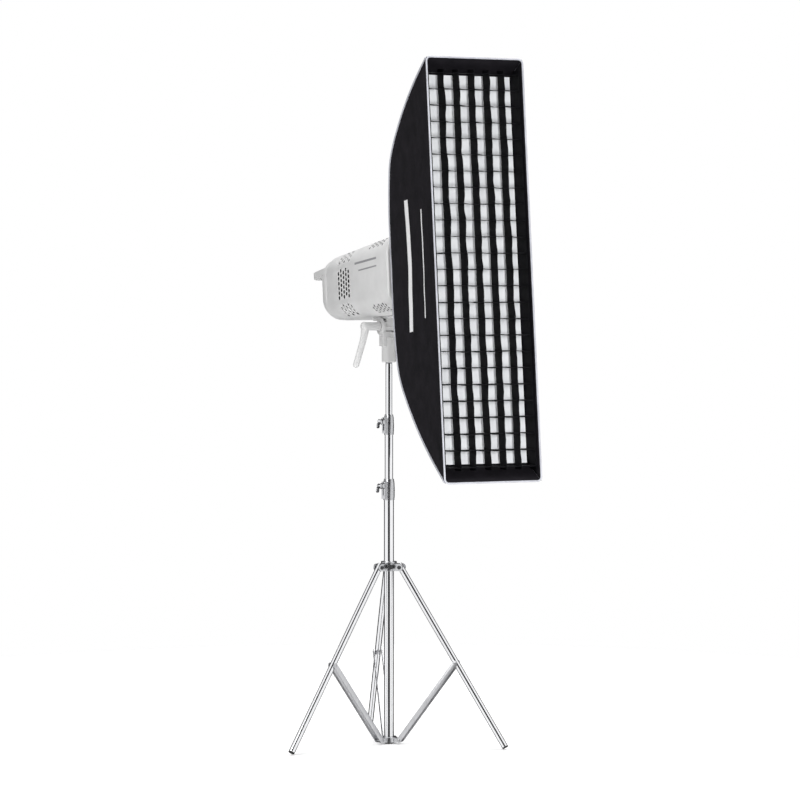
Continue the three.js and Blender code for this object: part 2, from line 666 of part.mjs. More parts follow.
function addSpeedring() {
  const back = -hubPlane;
  const ring = axisRing([
    [63, back - 9.6], [97, back - 9.6], [97, back - 3], [92, back + 0.2], [72, back + 0.4], [72, back + 15],
    [84, back + 15], [84, back + 28], [63, back + 28], [63, back - 9.6],
  ]);
  add(head, 'speedring', ring, blackMetal);

  const path = insetProfile(10);
  const start = path.findIndex((point) => point.y > 70);
  const side = new THREE.Shape();
  side.absarc(0, 0, 2.6, 0, 2 * Math.PI);
  for (const [name, sx, sz] of [['1', -1, 1], ['2', 1, 1], ['3', -1, -1], ['4', 1, -1]]) {
    const points = [boxPoint(sx * 44, ribStartDepth, sz * 56)];
    for (const point of path.slice(start)) {
      if (point.x > diffuserDepth - 12) break;
      const w = halfWidthAt(point.x) - 9;
      const ease = Math.min(1, (point.y - 40) / 190);
      points.push(boxPoint(sx * THREE.MathUtils.lerp(44, w, ease), Math.max(point.x, ribStartDepth), sz * point.y));
    }
    const rib = new THREE.ExtrudeGeometry(side, {
      extrudePath: new THREE.CatmullRomCurve3(points), steps: 16, bevelEnabled: false, curveSegments: 3,
    });
    add(head, `spring_rib_${name}`, rib, springRod);
  }
}

// A flat sheet across the inside at one depth, clear of the walls by its margin.
function crossSheet(depth, margin, thickness = 1.5) {
  const edge = profile.filter((point) => point.x < depth);
  const top = edge[edge.length - 1];
  const reach = halfProfile.getPoints(400).find((point) => point.x > depth).y;
  const w = halfWidthAt(depth) - margin;
  const v = Math.min(reach, top.y + 60) - margin;
  const corners = [[-w, v], [w, v], [w, -v], [-w, -v]];
  return loft([
    corners.map(([x, z]) => boxPoint(x, depth + thickness, z)),
    corners.map(([x, z]) => boxPoint(x, depth, z)),
  ]);
}

function addDiffusion() {
  add(head, 'front_diffuser', crossSheet(diffuserDepth, 9), whiteCloth);
  add(head, 'inner_baffle', crossSheet(baffleDepth, 24), whiteCloth);

  const { columns, rows, strip, back, front, edge } = gridSize;
  const halfWide = boxHalfWidth - edge;
  const halfTall = boxHalfHeight - edge - 30;
  const slab = (x0, x1, z0, z1, d0, d1) => {
    const corners = [[x0, z1], [x1, z1], [x1, z0], [x0, z0]];
    return loft([
      corners.map(([x, z]) => boxPoint(x, d1, z)),
      corners.map(([x, z]) => boxPoint(x, d0, z)),
    ]);
  };
  const strips = [];
  for (let i = 0; i <= columns; i += 1) {
    const x = -halfWide + (2 * halfWide * i) / columns;
    strips.push(slab(x - strip / 2, x + strip / 2, -halfTall - 1, halfTall + 1, back, front));
  }
  for (let j = 0; j <= rows; j += 1) {
    const z = -halfTall + (2 * halfTall * j) / rows;
    strips.push(slab(-halfWide, halfWide, z - strip / 2, z + strip / 2, back, front));
  }
  add(head, 'fabric_grid', join(...strips), gridCloth);
}

addColumn();
addLegs();
addHubs();
addReceiver();
addTongue();
addShells();
addMount();
addInternals();
addControls();
addShellFabric();
addSpeedring();
addDiffusion();

export default softboxLight;
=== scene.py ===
# %% [markdown]
# # A strip softbox on a light stand
# This notebook dresses a fixed CAD frame. The frame holds every size and joint, and each piece
# made here takes its place from it, rides on one of its bodies and hides the plain solid it stands for.

# %% Load the frame
import json
import math

import bpy
from mathutils import Matrix, Vector, noise


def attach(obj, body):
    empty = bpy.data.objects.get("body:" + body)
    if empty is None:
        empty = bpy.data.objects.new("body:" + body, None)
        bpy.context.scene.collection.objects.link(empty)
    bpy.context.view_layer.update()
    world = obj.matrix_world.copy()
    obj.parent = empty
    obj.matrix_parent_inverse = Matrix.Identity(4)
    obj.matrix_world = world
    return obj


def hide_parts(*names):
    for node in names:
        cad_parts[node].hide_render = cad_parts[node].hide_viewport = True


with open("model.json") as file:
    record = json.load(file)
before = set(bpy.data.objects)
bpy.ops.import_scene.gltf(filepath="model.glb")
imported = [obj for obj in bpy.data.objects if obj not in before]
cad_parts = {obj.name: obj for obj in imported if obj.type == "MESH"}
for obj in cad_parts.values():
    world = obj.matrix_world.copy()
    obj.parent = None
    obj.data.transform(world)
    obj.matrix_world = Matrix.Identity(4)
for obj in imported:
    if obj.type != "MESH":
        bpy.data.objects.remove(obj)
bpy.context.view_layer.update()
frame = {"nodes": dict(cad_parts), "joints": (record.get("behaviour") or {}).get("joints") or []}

MM = 0.001

# %% [markdown]
# ## Two spaces
# The stand is square to the world, so its sizes can be read straight from the frame. The lamp head
# leans back a few degrees about its tilt bolt. Its pieces are drawn in the head's own upright space,
# with the light along -Y and the bolt at the origin, and one matrix then leans each of them.

# %% Spaces and measures
WORLD = Matrix()
joints = {joint["name"]: joint for joint in frame["joints"]}
head_up = Vector(joints["latch_slide"]["axis"])
HEAD = Matrix.Translation(joints["head_tilt"]["pos_m"]) @ Matrix.Rotation(
    -math.atan2(head_up.y, head_up.z), 4, "X")


def span(node, space=WORLD):
    """Lowest and highest corner of a CAD node, measured in a space of its own."""
    back = space.inverted()
    points = [back @ vertex.co for vertex in frame["nodes"][node].data.vertices]
    low = Vector([min(point[axis] for point in points) for axis in range(3)])
    high = Vector([max(point[axis] for point in points) for axis in range(3)])
    return low, high


ring_low, ring_high = span("mount_ring", HEAD)
AXIS = (ring_low.z + ring_high.z) / 2
print("light axis", round(AXIS / MM), "mm above the tilt bolt")

# %% [markdown]
# ## Camera, floor and light
# The camera stands more than nine metres away with a long lens, as a product photographer's would,
# so the stand's lines stay nearly parallel. Polished tubes are only seen by what they mirror, and
# without something dark to mirror they vanish. So mirror rays meet a white room whose far side is
# dark, with one narrow dark card behind the camera. All else is lit by an even sky and three lamps.

# %% Camera
CAMERA_PLACE = (-3.849, -8.566, 1.388)
CAMERA_AZIMUTH = math.radians(-24.4)
CAMERA_PITCH = math.radians(2.13)
bpy.ops.object.camera_add(
    location=CAMERA_PLACE,
    rotation=(math.pi / 2 - CAMERA_PITCH, 0, CAMERA_AZIMUTH))
camera = bpy.context.object
camera.data.lens = 140.4
camera.data.sensor_width = 36
camera.data.clip_end = 200
bpy.context.scene.camera = camera
print("camera with a lens of", round(camera.data.lens), "mm,", round(camera.location.length, 1), "m away")

# %% Nodes and colours


def colour(hex_code):
    """An sRGB hex value as the linear colour that the shader wants."""
    parts = [int(hex_code[i:i + 2], 16) / 255 for i in (1, 3, 5)]
    linear = [p / 12.92 if p <= 0.04045 else ((p + 0.055) / 1.055) ** 2.4 for p in parts]
    return (*linear, 1.0)


def add_node(tree, kind, inputs=None, **settings):
    """One node with its settings, and its inputs linked or set."""
    made = tree.nodes.new(kind)
    for key, value in settings.items():
        setattr(made, key, value)
    for key, value in (inputs or {}).items():
        if isinstance(value, bpy.types.NodeSocket):
            tree.links.new(value, made.inputs[key])
        else:
            made.inputs[key].default_value = value
    return made


# %% Studio room
world = bpy.data.worlds.new("white_studio")
bpy.context.scene.world = world
world.use_nodes = True
room = world.node_tree
room.nodes.clear()
direction = add_node(room, "ShaderNodeTexCoord")
parts = add_node(room, "ShaderNodeSeparateXYZ", {"Vector": direction.outputs["Generated"]})
turn = add_node(
    room, "ShaderNodeMath", {0: parts.outputs["Y"], 1: parts.outputs["X"]}, operation="ARCTAN2")
camera_turn = math.atan2(CAMERA_PLACE[1], CAMERA_PLACE[0])
off_camera = add_node(
    room, "ShaderNodeMath", {0: turn.outputs[0], 1: camera_turn}, operation="SUBTRACT")
cosine = add_node(room, "ShaderNodeMath", {0: off_camera.outputs[0]}, operation="COSINE")
fraction = add_node(room, "ShaderNodeMapRange", {
    "Value": cosine.outputs[0], "From Min": -1.0, "From Max": 1.0})
cards = add_node(room, "ShaderNodeValToRGB", {"Fac": fraction.outputs["Result"]})
DARK_CARD = (0.03, 0.03, 0.032, 1)
WHITE_WALL = (1, 1, 1, 1)
FAR_SIDE_END, CARD_START = 0.30, 0.965   # 0 is straight away from the camera, 1 is straight behind it
for place, shade in (
        (FAR_SIDE_END, DARK_CARD), (FAR_SIDE_END + 0.06, WHITE_WALL),
        (CARD_START - 0.015, WHITE_WALL), (CARD_START, DARK_CARD)):
    stop = cards.color_ramp.elements.new(place)
    stop.color = shade
cards.color_ramp.elements[0].color = DARK_CARD
cards.color_ramp.elements[-1].color = DARK_CARD
plain = add_node(room, "ShaderNodeBackground", {"Color": WHITE_WALL, "Strength": 1.0})
soft = add_node(room, "ShaderNodeBackground", {"Color": WHITE_WALL, "Strength": 0.42})
studio = add_node(room, "ShaderNodeBackground", {"Color": cards.outputs["Color"], "Strength": 1.15})
rays = add_node(room, "ShaderNodeLightPath")
mirror = add_node(room, "ShaderNodeMixShader", {
    "Fac": rays.outputs["Is Glossy Ray"], 1: soft.outputs[0], 2: studio.outputs[0]})
seen = add_node(room, "ShaderNodeMixShader", {
    "Fac": rays.outputs["Is Camera Ray"], 1: mirror.outputs[0], 2: plain.outputs[0]})
add_node(room, "ShaderNodeOutputWorld", {"Surface": seen.outputs[0]})
bpy.context.scene.view_settings.view_transform = "Standard"
print("room with", len(room.nodes), "nodes")


def area_light(name, place, aim, width, height, power, mirrored=True):
    """A softbox-like lamp at a place, turned to face a point, that polished metal may mirror."""
    bpy.ops.object.light_add(type="AREA", location=place)
    lamp = bpy.context.object
    lamp.name = name
    lamp.rotation_euler = (Vector(aim) - Vector(place)).to_track_quat("-Z", "Y").to_euler()
    lamp.data.shape = "RECTANGLE"
    lamp.data.size = width
    lamp.data.size_y = height
    lamp.data.energy = power
    lamp.visible_glossy = mirrored


area_light("key_light", (-5.0, -2.4, 3.4), (0, 0, 1.3), 1.6, 2.4, 80)
area_light("front_light", (-0.6, -6.5, 1.2), (0, -0.6, 1.36), 1.4, 2.6, 330, mirrored=False)
area_light("top_light", (0.2, 0.2, 5.0), (0, 0, 0), 3.0, 3.0, 170)

# %% Floor
FLOOR_RADIUS = 2.6
bpy.ops.object.select_all(action="DESELECT")
bpy.ops.mesh.primitive_circle_add(
    vertices=96, radius=FLOOR_RADIUS, fill_type="NGON", location=(0, 0, -0.0004))
floor = bpy.context.object
floor.name = "studio_floor"
floor.visible_glossy = False   # polished tubes mirror the room's cards right down to their feet
paper = bpy.data.materials.new("white_paper_floor")
paper.use_nodes = True
paper_shader = paper.node_tree.nodes["Principled BSDF"]
paper_shader.inputs["Base Color"].default_value = colour("#ffffff")
paper_shader.inputs["Roughness"].default_value = 0.9
paper_shader.inputs["Emission Color"].default_value = colour("#ffffff")
paper_shader.inputs["Emission Strength"].default_value = 0.16
floor.data.materials.append(paper)
print("floor", 2 * FLOOR_RADIUS, "m across")

# %% [markdown]
# ## Modelling habits
# Every operator works on what is selected, and the frame leaves its solids selected, so each step
# first selects one piece alone. Pieces are drawn in millimetres in an upright space of their own.
# `fit` then scales them to metres, puts them in place in their mesh, and ties them to the frame.

# %% Selecting and modifying


def pick(piece):
    """Select one piece alone and make it the active one."""
    bpy.ops.object.select_all(action="DESELECT")
    piece.select_set(True)
    bpy.context.view_layer.objects.active = piece
    return piece


def move(piece, place=(0, 0, 0), turn=0, about="X"):
    """Turn a piece by degrees about an axis through the origin, then carry it to a place."""
    piece.data.transform(Matrix.Translation(place) @ Matrix.Rotation(math.radians(turn), 4, about))
    return piece


def modify(piece, kind, **settings):
    """Put one modifier on a piece and apply it."""
    pick(piece)
    modifier = piece.modifiers.new(kind.lower(), kind)
    for key, value in settings.items():
        setattr(modifier, key, value)
    bpy.ops.object.modifier_apply(modifier=modifier.name)
    return piece


def edit(piece, *steps):
    """Run edit mode operators over the whole of one piece."""
    pick(piece)
    bpy.ops.object.mode_set(mode="EDIT")
    bpy.ops.mesh.select_all(action="SELECT")
    for step in steps:
        step()
    bpy.ops.object.mode_set(mode="OBJECT")
    return piece


def choose(piece, faces=None, edges=None):
    """Enter edit mode with only the faces, or only the edges, that pass a test selected."""
    pick(piece)
    bpy.ops.object.mode_set(mode="EDIT")
    bpy.ops.mesh.select_mode(type="FACE" if faces else "EDGE")
    bpy.ops.mesh.select_all(action="DESELECT")
    bpy.ops.object.mode_set(mode="OBJECT")
    for part in piece.data.polygons if faces else piece.data.edges:
        part.select = (faces or edges)(part)
    bpy.ops.object.mode_set(mode="EDIT")


def leave_edit():
    """Go back to vertex selection and object mode."""
    bpy.ops.mesh.select_mode(type="VERT")
    bpy.ops.object.mode_set(mode="OBJECT")


def close_and_face_out():
    """Merge doubles and point the faces outwards."""
    bpy.ops.mesh.remove_doubles(threshold=0.001)
    bpy.ops.mesh.normals_make_consistent(inside=False)


def smooth(piece, angle):
    """Shade a piece smooth, but for the edges sharper than an angle in degrees."""
    pick(piece)
    bpy.ops.object.shade_smooth_by_angle(angle=math.radians(angle))
    return piece


def soften(piece, width, segments=2, angle=32):
    """Round the hard edges and shade the rest smooth."""
    modify(piece, "BEVEL", width=width, segments=segments, limit_method="ANGLE",
           angle_limit=math.radians(angle), harden_normals=False)
    return smooth(piece, 38)


# %% Primitives in millimetres
AXIS_TURN = {"x": (0, math.pi / 2, 0), "y": (math.pi / 2, 0, 0), "z": (0, 0, 0)}


def at_rest():
    """Put the place of the active piece into its mesh."""
    bpy.ops.object.transform_apply(location=True, rotation=True, scale=True)
    return bpy.context.object


def rod(axis, radius, start, end, u=0, v=0, sides=48, open_ends=False):
    """A cylinder from start to end along one axis."""
    middle = (start + end) / 2
    place = {"x": (middle, u, v), "y": (u, middle, v), "z": (u, v, middle)}[axis]
    bpy.ops.object.select_all(action="DESELECT")
    bpy.ops.mesh.primitive_cylinder_add(
        vertices=sides, radius=radius, depth=end - start, location=place, rotation=AXIS_TURN[axis],
        end_fill_type="NOTHING" if open_ends else "NGON")
    return at_rest()


def block(x0, x1, y0, y1, z0, z1):
    """A box between two corners."""
    bpy.ops.object.select_all(action="DESELECT")
    bpy.ops.mesh.primitive_cube_add(
        size=1, location=((x0 + x1) / 2, (y0 + y1) / 2, (z0 + z1) / 2),
        scale=(x1 - x0, y1 - y0, z1 - z0))
    return at_rest()


def ball(radius, place, segments, rings):
    """A sphere at a place."""
    bpy.ops.object.select_all(action="DESELECT")
    bpy.ops.mesh.primitive_uv_sphere_add(
        segments=segments, ring_count=rings, radius=radius, location=place)
    return at_rest()


def drawn(points, closed=True):
    """A bare outline of edges, ready to be spun or extruded."""
    mesh = bpy.data.meshes.new("outline")
    count = len(points)
    edges = [(i, (i + 1) % count) for i in range(count if closed else count - 1)]
    mesh.from_pydata(points, edges, [])
    piece = bpy.data.objects.new("outline", mesh)
    bpy.context.scene.collection.objects.link(piece)
    return pick(piece)


def turned(profile, steps=64):
    """A lathe part about Z: a profile of (radius, height), either a closed ring or from axis to axis."""
    ring = profile[0][0] > 0
    piece = drawn([(radius, 0, height) for radius, height in profile], closed=ring)
    return edit(
        piece,
        lambda: bpy.ops.mesh.spin(steps=steps, angle=2 * math.pi, center=(0, 0, 0), axis=(0, 0, 1)),
        close_and_face_out)


def round_ended_bar(length, width, thickness, sides):
    """A flat bar with round ends along +Z, its first hole at the origin, its thickness along Y."""
    bpy.ops.object.select_all(action="DESELECT")
    bpy.ops.mesh.primitive_circle_add(
        vertices=sides, radius=width / 2, fill_type="NGON", rotation=AXIS_TURN["y"])
    piece = at_rest()
    for vertex in piece.data.vertices:
        if vertex.co.z > 0.01 * width:
            vertex.co.z += length
    modify(piece, "SOLIDIFY", thickness=thickness, offset=0)
    return edit(piece, close_and_face_out)


def combine(piece, others, operation="UNION"):
    """Join or cut a piece with others, which are used up."""
    for other in others:
        modify(piece, "BOOLEAN", operation=operation, object=other, solver="EXACT")
        bpy.data.objects.remove(other)
    return piece


def gather(pieces):
    """Make several shells one object."""
    bpy.ops.object.select_all(action="DESELECT")
    for piece in pieces:
        piece.select_set(True)
    bpy.context.view_layer.objects.active = pieces[0]
    bpy.ops.object.join()
    return bpy.context.object


def ring_of_grooves(axis, count, ring_radius, radius, start, end, u, v, sides):
    """Cutters for the grip round a knob: rods side by side on a circle about (u, v)."""
    turns = [2 * math.pi * k / count for k in range(count)]
    return gather([
        rod(axis, radius, start, end, u + ring_radius * math.cos(t), v + ring_radius * math.sin(t), sides)
        for t in turns])


def melt(piece, voxel, smoothing=6):
    """Blend joined shells into one skin with soft corners, as a casting has."""
    modify(piece, "REMESH", mode="VOXEL", voxel_size=voxel)
    modify(piece, "SMOOTH", factor=0.5, iterations=smoothing)
    pick(piece)
    bpy.ops.object.shade_smooth()
    return piece


def fit(piece, name, body, slot, material, space=WORLD, replaces=()):
    """Give a finished piece its name, place, finish and body."""
    piece.name = name
    piece.data.name = name
    piece.data.transform(space @ Matrix.Scale(MM, 4))
    piece.data.update()
    if not piece.data.materials:
        piece.data.materials.append(material)
    for node in replaces:
        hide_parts(node)
    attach(piece, body)
    print("  ", name, "on", body, "with", len(piece.data.polygons), "faces")
    return piece


print("helpers ready")

# %% [markdown]
# ## Finishes
# Each finish starts from the real material and how its surface was made. A shader gets its colour
# and roughness from a pattern at a real scale in millimetres, on Object coordinates, so that the
# pattern stays put on every piece.

# %% Material base


def finish(name, **sockets):
    """An empty Principled material with some of its sockets set."""
    material = bpy.data.materials.new(name)
    material.use_nodes = True
    shader = material.node_tree.nodes["Principled BSDF"]
    for key, value in sockets.items():
        shader.inputs[key.replace("_", " ")].default_value = value
    return material, material.node_tree, shader


def grain(tree, size_mm, detail=3.0, stretch=(1, 1, 1)):
    """Noise whose lumps are about a given size in millimetres."""
    where = add_node(tree, "ShaderNodeTexCoord")
    sized = add_node(tree, "ShaderNodeMapping", {"Vector": where.outputs["Object"], "Scale": stretch})
    return add_node(tree, "ShaderNodeTexNoise", {
        "Vector": sized.outputs[0], "Scale": 1 / (size_mm * MM), "Detail": detail}).outputs["Fac"]


def tint(tree, shader, value, low, high, lowest=0.3, highest=0.7):
    """Colour the shader between two hex values by a pattern."""
    ramp = add_node(tree, "ShaderNodeValToRGB", {"Fac": value})
    ramp.color_ramp.elements[0].position = lowest
    ramp.color_ramp.elements[0].color = colour(low)
    ramp.color_ramp.elements[1].position = highest
    ramp.color_ramp.elements[1].color = colour(high)
    tree.links.new(ramp.outputs["Color"], shader.inputs["Base Color"])
    return ramp


def vary_roughness(tree, shader, value, low, high):
    """Move the roughness between two values by a pattern."""
    spread = add_node(tree, "ShaderNodeMapRange", {"Value": value, "To Min": low, "To Max": high})
    tree.links.new(spread.outputs["Result"], shader.inputs["Roughness"])


def emboss(tree, shader, value, height_mm, strength=1.0):
    """Raise the surface by a pattern of a real height."""
    bump = add_node(tree, "ShaderNodeBump", {
        "Height": value, "Distance": height_mm * MM, "Strength": strength})
    tree.links.new(bump.outputs["Normal"], shader.inputs["Normal"])


def print_bars(name, material, bars, ink):
    """A copy of a material with plain printed bars: (y, half length, z, half height) in mm in the head."""
    printed = material.copy()
    printed.name = name
    tree = printed.node_tree
    shader = tree.nodes["Principled BSDF"]
    where = add_node(tree, "ShaderNodeTexCoord")
    upright_place = add_node(tree, "ShaderNodeMapping", {
        "Vector": where.outputs["Object"], "Location": HEAD.translation, "Rotation": HEAD.to_euler()},
        vector_type="TEXTURE")
    parts = add_node(tree, "ShaderNodeSeparateXYZ", {"Vector": upright_place.outputs[0]})
    inked = None
    for y, half_length, z, half_height in bars:
        within_y = add_node(tree, "ShaderNodeMath", {
            0: parts.outputs["Y"], 1: y * MM, 2: half_length * MM}, operation="COMPARE")
        within_z = add_node(tree, "ShaderNodeMath", {
            0: parts.outputs["Z"], 1: z * MM, 2: half_height * MM}, operation="COMPARE")
        bar = add_node(tree, "ShaderNodeMath", {0: within_y.outputs[0], 1: within_z.outputs[0]},
                       operation="MULTIPLY").outputs[0]
        inked = bar if inked is None else add_node(
            tree, "ShaderNodeMath", {0: inked, 1: bar}, operation="MAXIMUM").outputs[0]
    ground = shader.inputs["Base Color"].links[0].from_socket
    mixed = add_node(tree, "ShaderNodeMix", {0: inked, 6: ground, 7: colour(ink)}, data_type="RGBA")
    tree.links.new(mixed.outputs[2], shader.inputs["Base Color"])
    return printed


# %% Metals


def polished_stainless():
    """Stainless tube, drawn and buffed: a clean mirror with faint upright polishing lines."""
    material, tree, shader = finish("polished_stainless_tube", Metallic=1.0, Anisotropic=0.2)
    lines = grain(tree, 1.2, stretch=(1, 1, 0.02))
    tint(tree, shader, lines, "#dadbdd", "#ededef")
    vary_roughness(tree, shader, lines, 0.07, 0.11)
    emboss(tree, shader, lines, 0.002, 0.1)
    return material


def cast_aluminium():
    """Die-cast aluminium, tumbled and clear-coated: satin, with a slight orange peel."""
    material, tree, shader = finish("tumbled_cast_aluminium", Metallic=1.0)
    peel = grain(tree, 2.5)
    tint(tree, shader, peel, "#a6a7aa", "#cfd0d2")
    vary_roughness(tree, shader, peel, 0.22, 0.38)
    emboss(tree, shader, peel, 0.04)
    return material


def brushed_bar():
    """Cold-rolled steel strip, brushed and zinc plated: soft streaks that run upwards."""
    material, tree, shader = finish("brushed_steel_strip", Metallic=1.0, Anisotropic=0.4)
    streaks = grain(tree, 0.8, stretch=(1, 1, 0.05))
    tint(tree, shader, streaks, "#a9aaad", "#d8d8da")
    vary_roughness(tree, shader, streaks, 0.28, 0.42)
    emboss(tree, shader, streaks, 0.02)
    return material


def black_coated_steel(name="black_powder_coated_steel", low="#19191b", high="#2c2c2f"):
    """Steel under black powder coat: dark, with the fine pimples of fused powder."""
    material, tree, shader = finish(name, Coat_Weight=0.15, Coat_Roughness=0.3)
    powder = grain(tree, 1.0)
    tint(tree, shader, powder, low, high)
    vary_roughness(tree, shader, powder, 0.32, 0.5)
    emboss(tree, shader, powder, 0.03)
    return material


def extruded_aluminium():
    """Plain extruded aluminium: pale grey with die lines along its length."""
    material, tree, shader = finish("extruded_aluminium", Metallic=1.0)
    lines = grain(tree, 1.5, stretch=(1, 0.03, 1))
    tint(tree, shader, lines, "#96999d", "#bdc0c3")
    vary_roughness(tree, shader, lines, 0.3, 0.45)
    emboss(tree, shader, lines, 0.03)
    return material


def spring_steel_rod():
    """Oil-tempered spring wire: blue-grey, smooth, a little dull."""
    material, tree, shader = finish("oil_tempered_spring_steel", Metallic=1.0)
    temper = grain(tree, 9)
    tint(tree, shader, temper, "#6d7178", "#92969b")
    vary_roughness(tree, shader, temper, 0.28, 0.4)
    return material


# %% Plastics and rubber


def white_shell_plastic():
    """White ABS, moulded in a spark-eroded tool: satin, with a very fine, even grain."""
    material, tree, shader = finish("white_moulded_abs", IOR=1.54, Coat_Weight=0.08, Coat_Roughness=0.25)
    spark = grain(tree, 0.9, detail=4)
    tint(tree, shader, grain(tree, 60), "#d3d3d3", "#dcdcdc")
    vary_roughness(tree, shader, spark, 0.34, 0.48)
    emboss(tree, shader, spark, 0.025)
    return material


def dark_moulded_plastic():
    """Black glass-filled nylon, moulded: dark grey with a leathery tooling grain."""
    material, tree, shader = finish("black_glass_filled_nylon", IOR=1.53)
    spark = grain(tree, 1.1, detail=4)
    tint(tree, shader, spark, "#1d1d1f", "#303032")
    vary_roughness(tree, shader, spark, 0.42, 0.6)
    emboss(tree, shader, spark, 0.05)
    return material


def foot_rubber():
    """Moulded black rubber: matte, with paler, dusty patches."""
    material, tree, shader = finish("moulded_black_rubber", IOR=1.52)
    dust = grain(tree, 7, detail=5)
    tint(tree, shader, dust, "#151516", "#2f2e2d", 0.4, 0.8)
    vary_roughness(tree, shader, dust, 0.7, 0.9)
    emboss(tree, shader, grain(tree, 1.0), 0.06)
    return material


def gloss_red_plastic():
    """Red polycarbonate rocker, moulded in a polished tool: glossy and a little uneven in shade."""
    material, tree, shader = finish("polished_red_polycarbonate", IOR=1.58, Coat_Weight=0.4)
    tint(tree, shader, grain(tree, 8), "#8e1a17", "#a92722")
    vary_roughness(tree, shader, grain(tree, 2), 0.15, 0.24)
    return material


def display_window_glass():
    """Smoked acrylic over a dark display: black and glossy."""
    material, tree, shader = finish("printed_acrylic_window", IOR=1.49, Coat_Weight=0.6)
    tint(tree, shader, grain(tree, 20), "#0a0b0e", "#12141a")
    vary_roughness(tree, shader, grain(tree, 3), 0.05, 0.1)
    return material


def green_solder_mask():
    """Glass-epoxy board under green solder mask, with paler copper runs showing through."""
    material, tree, shader = finish("green_solder_mask", IOR=1.5)
    where = add_node(tree, "ShaderNodeTexCoord")
    runs = add_node(tree, "ShaderNodeTexBrick", {
        "Vector": where.outputs["Object"], "Scale": 60.0, "Mortar Size": 0.03,
        "Color1": colour("#1f5a38"), "Color2": colour("#24663f"), "Mortar": colour("#3d8a58")})
    tree.links.new(runs.outputs["Color"], shader.inputs["Base Color"])
    vary_roughness(tree, shader, grain(tree, 4), 0.3, 0.45)
    return material


def yellow_phosphor():
    """Phosphor under clear silicone: matte yellow, dotted by the chips below."""
    material, tree, shader = finish("yellow_phosphor_silicone", IOR=1.42, Coat_Weight=0.5)
    where = add_node(tree, "ShaderNodeTexCoord")
    chips = add_node(tree, "ShaderNodeTexVoronoi", {"Vector": where.outputs["Object"], "Scale": 400.0})
    tint(tree, shader, chips.outputs["Distance"], "#c9952f", "#e8cf6a", 0.1, 0.6)
    vary_roughness(tree, shader, grain(tree, 3), 0.3, 0.5)
    return material


# %% Cloths
QUILT_MM = 3.2 * math.pi   # the faint squares into which the coating draws the cloth, about 10 mm


def quilting(tree, spacing_mm):
    """Crossed waves as height, up and along the softbox."""
    where = add_node(tree, "ShaderNodeTexCoord")
    square = add_node(tree, "ShaderNodeMapping", {
        "Vector": where.outputs["Object"], "Rotation": (-HEAD.to_euler().x, 0, 0)})
    scale = 2 * math.pi / (20 * spacing_mm * MM)   # a wave texture has 20 / (2 pi) bands in a metre
    waves = [
        add_node(tree, "ShaderNodeTexWave", {"Vector": square.outputs[0], "Scale": scale},
                 bands_direction=axis).outputs["Fac"] for axis in "ZY"]
    return add_node(tree, "ShaderNodeMath", {0: waves[0], 1: waves[1]}, operation="MAXIMUM").outputs[0]


def coated_cloth(name, low, high, rough, sheen=0.0, wave_height=0.08, gloss=0.5):
    """Tightly woven nylon under a thin coating, uneven in shade and drawn into faint squares."""
    material, tree, shader = finish(
        name, Sheen_Weight=sheen, Sheen_Roughness=0.4, IOR=1.35, Specular_IOR_Level=gloss)
    tint(tree, shader, grain(tree, 45, detail=4), low, high)
    vary_roughness(tree, shader, grain(tree, 12), rough - 0.08, rough + 0.08)
    emboss(tree, shader, quilting(tree, QUILT_MM), wave_height)
    return material


STAINLESS = polished_stainless()
CAST = cast_aluminium()
STRIP = brushed_bar()
BLACK_STEEL = black_coated_steel()
HEAT_METAL = extruded_aluminium()
SPRING = spring_steel_rod()
WHITE_ABS = white_shell_plastic()
DARK_NYLON = dark_moulded_plastic()
RUBBER = foot_rubber()
RED_PC = gloss_red_plastic()
WINDOW = display_window_glass()
BOARD = green_solder_mask()
PHOSPHOR = yellow_phosphor()
# the inside of the housing and rear cover is painted near black, as painted shade seen through the vents and
# the gap at the cover, with powder coat's fine pimples
INNER_WALL_SHADE = black_coated_steel("painted_shade_inner_wall", "#060607", "#0d0d0e")
SIDE_CLOTH = coated_cloth("black_nylon_oxford", "#161518", "#1f1d21", 0.7, 0.0, 0.06, 0.15)
SILVER_CLOTH = coated_cloth("silver_coated_lining", "#a9abb0", "#d0d2d6", 0.35)
WHITE_CLOTH = coated_cloth("white_diffusion_nylon", "#dcdee1", "#eceef0", 0.8, 0.1, 0.04)
GRID_CLOTH = coated_cloth("black_webbing_strip", "#060608", "#0e0e12", 0.8, 0.0, 0.08, 0.3)
PIPING_CLOTH = coated_cloth("silver_grey_piping", "#a2a3aa", "#bcbdc4", 0.6, 0.1)
print("finishes", len(bpy.data.materials))

# %% [markdown]
# ## The stand's tubes
# The column is three stainless tubes, one inside the next. A tube is an open cylinder given a wall
# inward, so its outer size stays the CAD's, with the lips of the cut ends broken by a small bevel.

# %% Column tubes


TUBE_WALL = 1.2
CLEARANCE = 0.3


def open_tube(radius, low, high, sides):
    """An open tube about Z between two heights, with its wall inward."""
    piece = rod("z", radius, low.z / MM, high.z / MM, sides=sides, open_ends=True)
    return modify(piece, "SOLIDIFY", thickness=TUBE_WALL, offset=-1)


for node, body in (("base_column", "base"), ("mid_column", "mid"), ("top_column", "top")):
    low, high = span(node)
    tube = soften(open_tube((high.x - low.x) / 2 / MM, low, high, 72), 0.25, 1, 60)
    fit(tube, node + "_tube", body, "stainless_tube", STAINLESS, replaces=[node])
    print(node, "from", round(low.z / MM), "to", round(high.z / MM), "mm")

FOOT_R = span("column_foot")[1].x / MM
PLUG_R = FOOT_R - 1.6
plug = turned([(0, 0), (FOOT_R - 2, 0), (FOOT_R, 1.5), (FOOT_R, 4), (PLUG_R, 4), (PLUG_R, 16), (0, 16)])
fit(soften(plug, 0.4), "column_foot_plug", "base", "dark_plastic", DARK_NYLON, replaces=["column_foot"])

